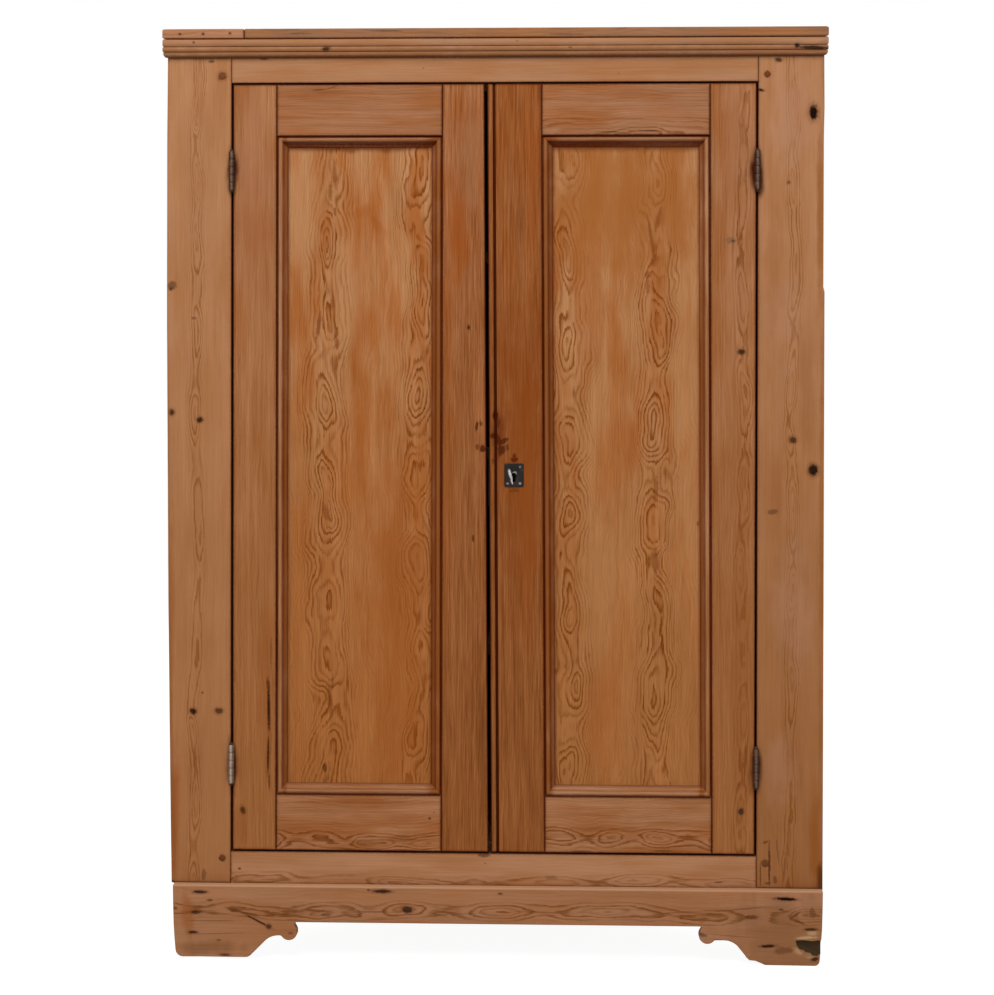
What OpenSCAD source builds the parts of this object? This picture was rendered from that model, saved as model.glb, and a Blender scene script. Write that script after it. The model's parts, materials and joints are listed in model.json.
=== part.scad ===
// Pine corner cupboard: a flat framed front with two panelled doors, two boarded walls that meet at a right
// angle behind it, a reeded cornice, a sawn bracket plinth and three shelves.
// Millimetres, +Z up, the front faces -Y. The origin is on the floor, at the middle of the outline box.

/* [Overall] */
// Height from the floor to the top of the top boards
total_h = 1585; // [1450:5:1750]
// Half width of the front, measured where the outer faces of the walls reach the frame's front face
plan_half = 561.5; // [548:0.5:600]

/* [Front frame] */
// Thickness of the stiles and rails
frame_t = 28; // [26:0.5:34]
// Width of the door opening
opening_w = 896; // [860:1:910]
// Height of the top edge of the bottom rail
opening_bottom = 181; // [170:1:200]
// Height of the top rail, up to the underside of the top boards
top_rail_h = 74; // [64:1:90]
// Height of the bottom rail
bottom_rail_h = 106; // [80:1:120]
// Width of the worn bevel on the outer front edge of each stile
arris_w = 10; // [6:0.5:20]
// Depth of that bevel
arris_d = 3; // [2:0.5:8]
// Height of the stiles' lower ends, behind the plinth
stile_bottom = 15; // [10:1:50]
// Thickness of the frame's tenons
frame_tenon_t = 10; // [8:0.5:12]
// Length of the frame's tenons
frame_tenon_l = 40; // [30:1:60]
// Distance of a frame tenon from the edges of its rail
frame_shoulder = 6; // [4:0.5:8]
// Radius of the pegs that lock the frame's tenons
peg_r = 3.4; // [2.5:0.1:4.5]
// Distance of a peg from the door opening's side
peg_inset = 15; // [10:0.5:22]
// Distance of a peg from its rail's edge at the opening
peg_edge = 12; // [11:0.5:20]

/* [Doors] */
// Thickness of the doors
door_t = 27; // [24:0.5:27]
// Distance of the doors' faces behind the frame's face
door_set = 0.5; // [0:0.1:1]
// Gap between a door and its hinge stile
side_gap = 3; // [2.6:0.1:4]
// Gap above and below the doors
end_gap = 2.5; // [1.5:0.1:4]
// Gap between the two doors
meeting_gap = 5; // [4:0.1:7]
// Width of the left door
left_door_w = 431; // [415:1:440]
// Width of the left door's hinge stile
left_hinge_stile_w = 74; // [68:1:84]
// Width of the left door's meeting stile
left_meeting_stile_w = 77; // [70:1:86]
// Width of the right door's meeting stile
right_meeting_stile_w = 94; // [88:1:104]
// Width of the right door's hinge stile
right_hinge_stile_w = 77; // [70:1:86]
// Height of the doors' top rails
door_top_rail_h = 88; // [80:1:110]
// Height of the doors' bottom rails
door_bottom_rail_h = 96; // [86:1:110]
// Thickness of the doors' tenons
door_tenon_t = 9; // [7:0.5:10]
// Distance of a door tenon from the edges of its rail
door_shoulder = 12; // [11:0.5:16]
// Width of the bead on the right door's meeting edge
bead_w = 9.5; // [7:0.5:12]
// Width of the groove beside that bead
quirk_w = 3.5; // [2.5:0.5:6]
// Depth of that groove
quirk_d = 5; // [3:0.5:7]

/* [Panels and their mouldings] */
// Distance of the panels' faces behind the doors' faces
panel_sink = 11; // [10:0.5:12]
// Thickness of the panels' edges
panel_t = 8; // [6:0.5:9]
// Distance that the middle of a panel stands out at the back
panel_back = 4; // [2:0.5:6]
// Width of the bevel round the back of a panel
panel_bevel_w = 42; // [25:1:60]
// Depth of the panel grooves
groove_d = 10; // [7:0.5:10]
// Room for the panels to swell in their grooves
panel_play = 2; // [1:0.5:4]
// Width of the moulding round each panel
mould_w = 18; // [16:0.5:22]
// Radius of the moulding's round nose
nose_r = 3.6; // [3:0.1:4]
// Width of the flat beside the nose, next to the door frame
nose_in = 1.6; // [1:0.1:2.5]
// Height of the moulding's small step
fillet_h = 5.4; // [4.5:0.1:6]
// Width of the moulding's small step
fillet_w = 1.6; // [1:0.1:2.5]
// Thickness of the moulding at the panel
mould_toe = 1.4; // [1:0.1:2.5]
// Gap at the moulding's mitres
mitre_gap = 0.3; // [0.2:0.05:0.6]

/* [Cornice and top] */
// Thickness of the top boards
top_t = 17; // [14:0.5:24]
// Distance that the cornice stands out from the frame
cornice_p = 10; // [9.5:0.5:16]
// Distance along the front that the top and the cornice end short of the walls' faces
top_short = 5.5; // [0:0.5:8]
// Height of the cornice's upper reed
upper_reed_h = 11.6; // [8:0.1:14]
// Height of the cornice's middle reed
middle_reed_h = 7.8; // [6:0.1:12]
// Height of the quarter round under the reeds
ovolo_h = 8; // [6:0.1:10]
// Distance that the quarter round steps back
ovolo_p = 5; // [3:0.1:6]
// Width of the grooves between the reeds
reed_gap = 1.2; // [0.8:0.1:2]
// Depth of the grooves between the reeds
reed_groove_d = 3.6; // [2.5:0.1:4]
// Height of the reeds' crowns
reed_crown = 1.9; // [1:0.1:2.4]
// Depth of the strip along the front edge of the top
cap_d = 34; // [25:1:60]
// Length of the short piece of that strip, at the left end
cap_short_l = 141; // [100:1:300]

/* [Plinth] */
// Height of the plinth board's top edge
plinth_top = 127; // [115:1:140]
// Height of the plinth board's lower edge between the feet
plinth_under = 64.5; // [60:0.5:72]
// Thickness of the plinth board
plinth_t = 17; // [15:0.5:24]
// Distance that the plinth is shorter than the frame's width, for each half
plinth_short = 11; // [8:0.5:14]
// Distance that the whole plinth board sits to the right
plinth_shift = 7; // [0:0.5:8]
// Width of the chamfer along the plinth's top edge
plinth_chamfer = 2; // [1:0.5:4]
// Radius of the feet's outer bottom corners
foot_corner_r = 8; // [4:0.5:14]
// Radius of the feet's toes
toe_r = 14; // [8:0.5:18]
// Distance of the foot's hollow curve from the plinth's end
cove_x = 177; // [165:1:185]
// Radius of that hollow curve
cove_r = 32; // [26:1:38]
// Height of the top of that hollow curve
cove_top = 41.5; // [36:0.5:44]
// Distance of the round lobe's centre from the plinth's end
lobe_x = 197.5; // [194:0.5:210]
// Height of the round lobe's centre
lobe_z = 48.5; // [44:0.5:51]
// Radius of the round lobe
lobe_r = 14.5; // [13:0.5:18]

/* [Walls and shelves] */
// Thickness of the wall boards
wall_t = 16; // [14:0.5:20]
// Height of the wall boards' lower ends
wall_bottom = 45; // [30:1:60]
// Length of the wall boards' tongues
tongue_l = 6; // [4:0.5:8]
// Side of the square post in the rear corner
post_w = 40; // [32:1:50]
// Thickness of the bottom board
bottom_t = 20; // [18:0.5:24]
// Distance that the bottom board stands above the opening's edge, as a stop for the doors
bottom_stop = 10; // [6:0.5:14]
// Thickness of the shelves
shelf_t = 18; // [15:0.5:24]
// Distance of the shelves' front edges behind the frame's face
shelf_front = 62; // [56:1:90]
// Width of the front board of each shelf and of the bottom
front_board_w = 228; // [200:1:260]
// Height of the lower shelf's top face
lower_shelf_z = 530; // [480:5:600]
// Height of the middle shelf's top face
middle_shelf_z = 870; // [800:5:930]
// Height of the upper shelf's top face
upper_shelf_z = 1210; // [1150:5:1290]
// Thickness of the battens under the shelves
batten_t = 18; // [14:1:24]
// Height of the battens
batten_h = 25; // [18:1:34]
// Side of the triangular blocks behind the feet
block_w = 76; // [60:1:100]
// Depth of the strip that stops the doors at the top
stop_d = 18; // [16:1:26]
// Height of that strip
stop_h = 24; // [20:1:30]
// Distance that the strip hangs below the top rail
stop_drop = 10; // [6:1:12]
// Radius of the wall nails
nail_r = 1.5; // [1.2:0.1:2]
// Radius of the wall nails' heads
nail_head_r = 3; // [2.5:0.1:4]
// Length of the wall nails
nail_l = 42; // [34:1:50]

/* [Hinges] */
// Distance of each hinge's middle from the door's nearer end
hinge_inset = 148; // [130:1:170]
// Height of the hinges
hinge_h = 66; // [56:1:76]
// Radius of the hinges' knuckles
knuckle_r = 5; // [4:0.1:6]
// Radius of the hinge pins
pin_r = 2.4; // [2:0.1:2.6]
// Height of the tip at each end of a pin
pin_tip_h = 4; // [3:0.5:6]
// Thickness of the hinge leaves
leaf_t = 1.8; // [1.5:0.1:2]
// Depth of the hinge leaves behind the frame's face
leaf_d = 21; // [18:0.5:24]
// Number of knuckles on each hinge
knuckles = 5; // [3:2:7]

/* [Lock and bolts] */
// Distance of the key's centre from the right door's meeting edge
lock_backset = 44.7; // [40:0.1:50]
// Height of the key's centre
key_z = 826; // [760:1:900]
// Radius of the keyhole's round part
keyhole_r = 4; // [3.2:0.1:4.4]
// Width of the keyhole's slot
keyhole_w = 5; // [4.6:0.1:5.6]
// Depth of the keyhole's slot below the key's centre
keyhole_drop = 12; // [10:0.5:14]
// Width of the keyhole plate
escutcheon_w = 33; // [28:0.5:40]
// Height of the keyhole plate
escutcheon_h = 40; // [36:0.5:50]
// Thickness of the keyhole plate
escutcheon_t = 1.4; // [1:0.1:2]
// Width of the lock case
case_w = 66; // [62:1:76]
// Height of the lock case
case_h = 76; // [72:1:90]
// Distance of the lock case's lower edge below the key's centre
case_drop = 42; // [36:1:44]
// Depth of the lock case
case_d = 13; // [12.5:0.5:15]
// Thickness of the lock's sheet iron
sheet_t = 1.5; // [1.2:0.1:1.6]
// Height of the lock bolt
lock_bolt_h = 16; // [14:0.5:18]
// Thickness of the lock bolt
lock_bolt_t = 8; // [6:0.5:8]
// Height of the lock bolt's lower face above the key's centre
lock_bolt_rise = 6; // [5.5:0.5:10]
// Radius of the door bolts' rods
rod_r = 4; // [3.5:0.1:4.5]
// Length of the door bolts' rods
rod_l = 100; // [92:1:110]
// Height of the door bolts' plates
bolt_plate_h = 90; // [84:1:100]
// Width of the door bolts' plates
bolt_plate_w = 30; // [26:1:38]
// Distance between a door bolt's end and what it shoots into
bolt_clear = 3; // [2:0.5:5]

/* [Fits] */
// Clearance round tenons, pins of wood and boards
wood_fit = 0.2; // [0.1:0.05:0.4]
// Clearance between sliding or turning iron parts
iron_fit = 0.3; // [0.2:0.05:0.4]
// Clearance between a hinge pin and its knuckles
pin_fit = 0.05; // [0.03:0.01:0.08]
// Room round a door bolt's end in the wood
bolt_room = 1; // [0.5:0.1:2]

/* [Hidden] */
$fn = 48;
root2 = sqrt(2);
// Longer than any piece, and the small overlap of a cut
big = 2000;
eps = 0.01;

// Colours of the waxed pine and the iron
pine = [0.70, 0.47, 0.29];
pine_dark = [0.60, 0.37, 0.20];
pine_bare = [0.76, 0.60, 0.42];
iron = [0.20, 0.18, 0.17];

// The frame's face is at y = 0 while a piece is drawn; place() moves it to the shared origin.
y_mid = (plan_half - plinth_t) / 2;

// Frame
open_half = opening_w / 2;
top_under = total_h - top_t;
opening_top = top_under - top_rail_h;
frame_tenon_y = (frame_t - frame_tenon_t) / 2;
bottom_rail_z = opening_bottom - bottom_rail_h;
peg_x = open_half + peg_inset;
plinth_half = plan_half - plinth_short;
peg_z = [opening_bottom - peg_edge, opening_top + peg_edge];

// Doors
door_z0 = opening_bottom + end_gap;
door_z1 = opening_top - end_gap;
door_y0 = door_set;
door_y1 = door_set + door_t;
left_x0 = -open_half + side_gap;
left_x1 = left_x0 + left_door_w;
right_x0 = left_x1 + meeting_gap;
right_x1 = open_half - side_gap;
field_z0 = door_z0 + door_bottom_rail_h;
field_z1 = door_z1 - door_top_rail_h;
left_field = [left_x0 + left_hinge_stile_w, left_x1 - left_meeting_stile_w];
right_field = [right_x0 + right_meeting_stile_w, right_x1 - right_hinge_stile_w];
panel_y = door_y0 + panel_sink;
door_tenon_y = (door_y0 + door_y1 - door_tenon_t) / 2;

// Height ranges of the two tenons in a door's stiles
door_tenons = [
    [door_z0 + door_shoulder, field_z0 - door_shoulder],
    [field_z1 + door_shoulder, door_z1 - door_shoulder]
];

// Cornice
cornice_h = upper_reed_h + middle_reed_h + ovolo_h + 3 * reed_gap;
cornice_z = top_under - cornice_h;
top_half = plan_half - top_short;
reed_p = cornice_p - reed_crown;
groove_p = cornice_p - reed_groove_d;

// Walls
wall_boards = 3;
wall_l = plan_half * root2;
inner_half = plan_half - wall_t * root2;
wall_start = frame_t * root2;
post_start = wall_l - wall_t - post_w;
board_w = (wall_l - wall_start) / wall_boards;
board_ends = [for (i = [0 : wall_boards]) wall_start + i * board_w];
bottom_z = opening_bottom + bottom_stop - bottom_t;
shelf_tops = [lower_shelf_z, middle_shelf_z, upper_shelf_z];
board_mid_z = concat([bottom_z + bottom_t / 2], [for (z = shelf_tops) z - shelf_t / 2]);
nail_margin = 40;
first_nail = (shelf_front + front_board_w / 6) * root2 + wall_t;
last_nail = post_start - nail_margin / 2;
nail_places = [
    [first_nail, board_ends[1] - nail_margin],
    [board_ends[1] + nail_margin, board_ends[2] - nail_margin],
    [board_ends[2] + nail_margin, last_nail]
];

// Hinges: the leaves lie on each side of the middle of the gap beside the door
hinge_x = open_half - side_gap / 2;
hinge_y = -knuckle_r - iron_fit;
hinge_z = [door_z0 + hinge_inset, door_z1 - hinge_inset];
leaf_gap = 0.1;
leaf_l = leaf_d - hinge_y;
knuckle_pitch = hinge_h / knuckles;
frame_knuckles = [for (i = [0 : 2 : knuckles - 1]) i];
door_knuckles = [for (i = [1 : 2 : knuckles - 1]) i];
screw_r = 1.5;
screw_head_r = 3;
screw_head_h = 1.4;
screw_l = 15;
screw_fit = 0.1;
screw_inset = 8;
leaf_screw_z = [for (i = [-1 : 1]) hinge_h / 2 + i * hinge_h / 3];
leaf_screw_y = knuckle_r + (leaf_l - knuckle_r) / 2;

// Lock
key_x = right_x0 + lock_backset;
edge_inset = 0.5;
case_x = right_x0 + edge_inset;
plate_flange = 12;
plate_y = door_y1;
case_y = plate_y + sheet_t;
case_z = key_z - case_drop;
lock_screw_z = [case_z - plate_flange / 2, case_z + case_h + plate_flange / 2];
escutcheon_pin_r = 1;
escutcheon_corner_r = 2.5;
pin_l = 7;
pin_inset = 4.2;
lock_bolt_z = key_z + lock_bolt_rise;
lock_bolt_y = case_y + (case_d - sheet_t - lock_bolt_t) / 2;
lock_bolt_l = case_w - 12;
lock_throw = 14;
keeper_x1 = left_x1 - edge_inset;
keeper_w = lock_throw + 6;
keeper_t = 2;
keeper_room = 1;
keeper_foot = 13;
spring_t = 0.8;
spring_rise = case_z + case_h - sheet_t - iron_fit - (lock_bolt_z + lock_bolt_h) - spring_t;

// Door bolts
bolt_x = left_x1 - left_meeting_stile_w / 2;
bolt_plate_t = 1.8;
rod_y = door_y1 + bolt_plate_t + iron_fit + rod_r;
bolt_throw = 16;
staple_w = 9;
staple_t = 2;
staple_inset = 20;
plate_back = 6;
knob_l = 13;
stop_z = opening_top - stop_drop;
top_rod_end = stop_z - bolt_clear;
bottom_rod_end = bottom_z + bottom_t + bolt_clear;

// Points along an arc, from angle a0 to angle a1
function arc(x, y, r, a0, a1, n = 8) =
    [for (i = [0 : n]) let (a = a0 + (a1 - a0) * i / n) [x + r * cos(a), y + r * sin(a)]];

// Points of a shallow round from [x, y0] up to [x, y1] that stands out by crown
function crowned(x, y0, y1, crown, n = 8) =
    let (h = y1 - y0, r = (h * h / 4 + crown * crown) / (2 * crown), a = asin(h / 2 / r))
    arc(x + crown - r, (y0 + y1) / 2, r, -a, a, n);

// The same points turned back to front, for a right-hand half
function mirrored(points) = [for (i = [len(points) - 1 : -1 : 0]) [-points[i][0], points[i][1]]];

module place() { translate([0, -y_mid, 0]) children(); }

// A box from one corner to the opposite one
module block(a, b) { translate(a) cube(b - a); }

// Moves its children from a wall's own lines to the plan: x runs from the front edge to the rear corner
// along the wall's outer face, and y is negative inside
module on_wall(right) {
    if (right) mirror([1, 0, 0]) translate([-plan_half, 0, 0]) rotate(45) children();
    else translate([-plan_half, 0, 0]) rotate(45) children();
}

// Part of the plan between two depths, inside walls that meet at half width reach
module plan_strip(reach, y0, y1) {
    if (y1 < reach) polygon([[-(reach - y0), y0], [reach - y0, y0], [reach - y1, y1], [-(reach - y1), y1]]);
    else polygon([[-(reach - y0), y0], [reach - y0, y0], [0, reach]]);
}

// Front frame

module frame_stile_plan() {
    polygon([
        [-open_half, 0], [-(plan_half - arris_w), 0], [-(plan_half - arris_d), arris_d],
        [-(plan_half - frame_t), frame_t], [-open_half, frame_t]
    ]);
}

module frame_mortise(z0, z1) {
    block([-open_half - frame_tenon_l - wood_fit, frame_tenon_y - wood_fit, z0 + frame_shoulder - wood_fit],
        [-open_half + eps, frame_tenon_y + frame_tenon_t + wood_fit, z1 - frame_shoulder + wood_fit]);
}

module peg_holes(side) {
    for (z = peg_z) translate([side * peg_x, -1, z]) rotate([-90, 0, 0])
        cylinder(h = frame_t + 2, r = peg_r + wood_fit / 2);
}

// One stile of the frame, drawn on the left: bevelled to the wall behind, mortised for both rails, and
// trimmed behind the plinth to the plinth's end
module frame_stile(plinth_end) {
    difference() {
        translate([0, 0, stile_bottom]) linear_extrude(top_under - stile_bottom) frame_stile_plan();
        block([-plan_half, -1, stile_bottom - 1], [-plinth_end, frame_t + 1, plinth_top]);
        frame_mortise(bottom_rail_z, opening_bottom);
        frame_mortise(opening_top, top_under);
        peg_holes(-1);
        for (z = hinge_z) at_left_hinge(z) leaf_pocket();
    }
}

module left_stile() { place() color(pine) frame_stile(plinth_half - plinth_shift); }

module right_stile() { place() color(pine) mirror([1, 0, 0]) frame_stile(plinth_half + plinth_shift); }

// A rail of the frame with a tenon at each end
module frame_rail(z0, z1) {
    difference() {
        union() {
            block([-open_half, 0, z0], [open_half, frame_t, z1]);
            block([-open_half - frame_tenon_l, frame_tenon_y, z0 + frame_shoulder],
                [open_half + frame_tenon_l, frame_tenon_y + frame_tenon_t, z1 - frame_shoulder]);
        }
        for (side = [-1, 1]) peg_holes(side);
    }
}

module top_rail() { place() color(pine) frame_rail(opening_top, top_under); }

module bottom_rail() { place() color(pine) frame_rail(bottom_rail_z, opening_bottom); }

module frame_pegs() {
    place() color(pine_dark)
        for (side = [-1, 1], z = peg_z)
            translate([side * peg_x, -0.4, z]) rotate([-90, 0, 0]) cylinder(h = frame_t + 0.4, r = peg_r);
}

// Plinth

// Half of the plinth's outline, from its top corner round the foot to the end of the round lobe
function half_plinth(end) =
    let (
        s = sin(45),
        cove_z = cove_top - cove_r,
        cove_start = [cove_x - cove_r * s, cove_z + cove_r * s],
        toe_end_z = toe_r - toe_r * s,
        toe_x = cove_start[0] - toe_r * s - (cove_start[1] - toe_end_z),
        lobe_from = 180 + asin((lobe_z - cove_top) / lobe_r)
    )
    [for (p = concat(
        [[0, plinth_top]],
        arc(foot_corner_r, foot_corner_r, foot_corner_r, 180, 270, 6),
        arc(toe_x, toe_r, toe_r, 270, 315, 4),
        arc(cove_x, cove_z, cove_r, 135, 90, 6),
        arc(lobe_x, lobe_z, lobe_r, lobe_from, 405, 20),
        [[lobe_x + lobe_r * s, plinth_under]]
    )) [p[0] - end, p[1]]];

// The board across the front with its two bracket feet sawn out of it
module plinth_board() {
    half = half_plinth(plinth_half);
    place() color(pine) difference() {
        translate([plinth_shift, 0, 0]) rotate([90, 0, 0]) linear_extrude(plinth_t)
            polygon(concat(half, mirrored(half)));
        translate([-big / 2, -plinth_t, plinth_top]) rotate([90, 0, 90]) linear_extrude(big)
            polygon([[-1, -plinth_chamfer - 1], [plinth_chamfer + 1, 1], [-1, 1]]);
    }
}

// Triangular blocks in the corners behind the feet, which stand on the floor and carry the bottom board
module foot_blocks() {
    y0 = frame_t + wood_fit;
    x0 = -(inner_half - wood_fit * root2 - y0);
    x1 = x0 + block_w;
    place() color(pine_bare) for (right = [false, true]) mirror([right ? 1 : 0, 0, 0])
        linear_extrude(bottom_z - wood_fit) polygon([[x0, y0], [x1, y0], [x1, y0 + block_w]]);
}

// Walls

// One board of a wall in the wall's own lines, with a groove at its front edge and a tongue at its rear edge
module wall_board(i, right) {
    s0 = board_ends[i];
    s1 = i < wall_boards - 1 ? board_ends[i + 1] - wood_fit : wall_l - (right ? wall_t + wood_fit : 0);
    third = wall_t / 3;
    front = i == 0
        ? [[s0 + wood_fit, 0], [s0 + wall_t + wood_fit, -wall_t]]
        : [
            [s0, 0], [s0, -third + wood_fit], [s0 + tongue_l + wood_fit, -third + wood_fit],
            [s0 + tongue_l + wood_fit, -2 * third - wood_fit], [s0, -2 * third - wood_fit], [s0, -wall_t]
        ];
    rear = i == wall_boards - 1
        ? [[s1, -wall_t], [s1, 0]]
        : [
            [s1, -wall_t], [s1, -2 * third], [s1 + tongue_l, -2 * third],
            [s1 + tongue_l, -third], [s1, -third], [s1, 0]
        ];
    color(pine_bare) difference() {
        on_wall(right) translate([0, 0, wall_bottom]) linear_extrude(top_under - wall_bottom)
            polygon(concat(front, rear));
        on_wall(right) nail_row(i, wood_fit / 2);
    }
}

// Nails of one wall board, driven from outside into the edges of the boards behind it
module nail_row(i, grow) {
    for (s = nail_places[i], z = board_mid_z)
        translate([s, 0, z]) rotate([90, 0, 0]) {
            translate([0, 0, -grow]) cylinder(h = nail_l + 2 * grow, r = nail_r + grow);
            translate([0, 0, -grow]) cylinder(h = 1 + 2 * grow, r = nail_head_r + grow);
        }
}

module all_nails(grow) {
    for (right = [false, true], i = [0 : wall_boards - 1]) on_wall(right) nail_row(i, grow);
}

module wall_nails() { place() color(iron) all_nails(0); }

module left_wall_front_board() { place() wall_board(0, false); }

module left_wall_middle_board() { place() wall_board(1, false); }

module left_wall_back_board() { place() wall_board(2, false); }

module right_wall_front_board() { place() wall_board(0, true); }

module right_wall_middle_board() { place() wall_board(1, true); }

module right_wall_back_board() { place() wall_board(2, true); }

// Plan of the square post, with room round it where grow is given
module post_plan(grow) {
    translate([0, inner_half - wood_fit * root2]) rotate(225)
        translate([-grow, -grow]) square(post_w - wood_fit + 2 * grow);
}

module corner_post() {
    place() color(pine_bare) linear_extrude(top_under - wood_fit) post_plan(0);
}

// Bottom, shelves and top

// A horizontal board in two widths, notched round the post and drilled at its edges for the wall nails
module floor_board(y0, z, t) {
    reach = inner_half - wood_fit * root2;
    joint = y0 + front_board_w;
    difference() {
        translate([0, 0, z]) linear_extrude(t) difference() {
            union() {
                plan_strip(reach, y0, joint);
                plan_strip(reach, joint + wood_fit, reach);
            }
            post_plan(wood_fit);
        }
        all_nails(wood_fit / 2);
    }
}

// Square notch that a door bolt shoots into, open to the front
module bolt_notch(z0, z1) {
    room = rod_r + bolt_room;
    block([bolt_x - room, frame_t - 1, z0], [bolt_x + room, rod_y + room, z1]);
}

module bottom_board() {
    place() color(pine_bare) difference() {
        floor_board(frame_t + wood_fit, bottom_z, bottom_t);
        bolt_notch(bottom_z - 1, bottom_z + bottom_t + 1);
    }
}

module shelf(z) { color(pine_bare) floor_board(shelf_front, z - shelf_t, shelf_t); }

module lower_shelf() { place() shelf(lower_shelf_z); }

module middle_shelf() { place() shelf(middle_shelf_z); }

module upper_shelf() { place() shelf(upper_shelf_z); }

// Battens nailed to the walls under the bottom and the shelves
module shelf_battens() {
    rear = post_start - wood_fit - 4;
    shelf_from = shelf_front * root2 + wall_t + batten_t;
    bottom_from = (frame_t + block_w) * root2 + wall_t + batten_t;
    unders = concat([bottom_z], [for (z = shelf_tops) z - shelf_t]);
    place() color(pine_bare) for (right = [false, true], under = unders)
        on_wall(right)
            block([under == bottom_z ? bottom_from : shelf_from, -wall_t - wood_fit - batten_t,
                under - wood_fit - batten_h], [rear, -wall_t - wood_fit, under - wood_fit]);
}

// Strip behind the top rail that the doors close against
module door_stop() {
    half = open_half - 12;
    place() color(pine_bare) difference() {
        block([-half, frame_t + wood_fit, stop_z], [half, frame_t + wood_fit + stop_d, stop_z + stop_h]);
        bolt_notch(stop_z - 1, stop_z + bolt_throw + 1);
    }
}

// Strip along the front edge of the top, in a short and a long piece
module cap_strips() {
    joint = -(top_half + cornice_p) + cap_short_l;
    place() color(pine) translate([0, 0, top_under]) linear_extrude(top_t) difference() {
        plan_strip(top_half, -cornice_p, cap_d - cornice_p);
        translate([joint, -cornice_p - 1]) square([wood_fit, cap_d + 2]);
    }
}

// Boards of the top behind the front strip
module top_boards() {
    y0 = cap_d - cornice_p + wood_fit;
    boards = 3;
    step = (top_half - y0) / boards;
    place() color(pine_dark) translate([0, 0, top_under]) linear_extrude(top_t)
        for (i = [1 : boards])
            plan_strip(top_half, y0 + (i - 1) * step, i < boards ? y0 + i * step - wood_fit : top_half);
}

// Reeded moulding under the top: its ends are cut in line with the walls
module cornice_moulding() {
    z1 = ovolo_h;
    z2 = z1 + reed_gap + middle_reed_h;
    z3 = z2 + reed_gap + upper_reed_h;
    profile = concat(
        [[0, 0]],
        [for (a = [0 : 15 : 90]) [reed_p - ovolo_p + ovolo_p * sin(a), ovolo_h * (1 - cos(a))]],
        [[groove_p, z1], [groove_p, z1 + reed_gap]],
        crowned(reed_p, z1 + reed_gap, z2, reed_crown),
        [[groove_p, z2], [groove_p, z2 + reed_gap]],
        crowned(reed_p, z2 + reed_gap, z3, reed_crown),
        [[groove_p, z3], [groove_p, cornice_h], [0, cornice_h]]
    );
    place() color(pine) intersection() {
        translate([-big / 2, 0, cornice_z]) rotate([90, 0, 90]) linear_extrude(big)
            mirror([1, 0]) polygon(profile);
        translate([0, 0, cornice_z - 1]) linear_extrude(cornice_h + 2)
            plan_strip(top_half, -cornice_p - 1, 1);
    }
}

// Hinges

// Moves its children to a hinge of the left door, given the height of its middle. The pin is on the z axis,
// the frame's leaf is on the negative x side of it, and y runs back into the gap
module at_left_hinge(z) { translate([-hinge_x, hinge_y, z - hinge_h / 2]) children(); }

module at_right_hinge(z) { mirror([1, 0, 0]) at_left_hinge(z) children(); }

module leaf_pocket() {
    block([-leaf_gap - leaf_t - screw_fit, 0, -screw_fit],
        [side_gap, leaf_l + screw_fit, hinge_h + screw_fit]);
    for (z = leaf_screw_z) translate([0, leaf_screw_y, z]) rotate([0, -90, 0])
        cylinder(h = screw_l + 2, r = screw_r + screw_fit);
}

// A countersunk screw along z, with its head's face at z = 0
module screw(grow = 0) {
    translate([0, 0, -grow]) cylinder(h = screw_head_h + grow, r1 = screw_head_r + grow, r2 = screw_r + grow);
    cylinder(h = screw_l, r = screw_r + grow);
}

module leaf_screws(grow = 0) {
    for (z = leaf_screw_z) translate([-leaf_gap, leaf_screw_y, z]) rotate([0, -90, 0]) screw(grow);
}

// One leaf of a hinge with its own knuckles, cut clear of the other leaf's
module hinge_leaf(own, other) {
    color(iron) difference() {
        union() {
            block([-leaf_gap - leaf_t, 0, 0], [-leaf_gap, leaf_l, hinge_h]);
            for (i = own) translate([0, 0, i * knuckle_pitch + iron_fit / 2])
                cylinder(h = knuckle_pitch - iron_fit, r = knuckle_r);
        }
        for (i = other) translate([0, 0, i * knuckle_pitch - iron_fit / 2])
            cylinder(h = knuckle_pitch + iron_fit, r = knuckle_r + iron_fit);
        translate([0, 0, -1]) cylinder(h = hinge_h + 2, r = pin_r + pin_fit);
        leaf_screws(screw_fit);
    }
}

module frame_leaf() { hinge_leaf(frame_knuckles, door_knuckles); }

module door_leaf() { mirror([1, 0, 0]) hinge_leaf(door_knuckles, frame_knuckles); }

// A pin with a small turned tip above and below its knuckles
module hinge_pin() {
    tip_r = pin_tip_h * 0.8;
    rise = iron_fit / 2;
    for (up = [0, 1]) translate([0, 0, up * hinge_h]) mirror([0, 0, 1 - up]) translate([0, 0, rise])
        rotate_extrude() polygon(concat(
            [[0, -rise - 1], [pin_r, -rise - 1], [pin_r, 0], [tip_r, 0]],
            arc(0, pin_tip_h - tip_r, tip_r, 10, 90, 6)
        ));
    cylinder(h = hinge_h, r = pin_r);
}

module hinge_pins() {
    place() color(iron) for (z = hinge_z) {
        at_left_hinge(z) hinge_pin();
        at_right_hinge(z) hinge_pin();
    }
}

module frame_screws() {
    place() color(iron) for (z = hinge_z) {
        at_left_hinge(z) leaf_screws();
        at_right_hinge(z) leaf_screws();
    }
}

module left_lower_hinge_frame_leaf() { place() at_left_hinge(hinge_z[0]) frame_leaf(); }

module left_upper_hinge_frame_leaf() { place() at_left_hinge(hinge_z[1]) frame_leaf(); }

module right_lower_hinge_frame_leaf() { place() at_right_hinge(hinge_z[0]) frame_leaf(); }

module right_upper_hinge_frame_leaf() { place() at_right_hinge(hinge_z[1]) frame_leaf(); }

module left_lower_hinge_door_leaf() { place() at_left_hinge(hinge_z[0]) door_leaf(); }

module left_upper_hinge_door_leaf() { place() at_left_hinge(hinge_z[1]) door_leaf(); }

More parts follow.
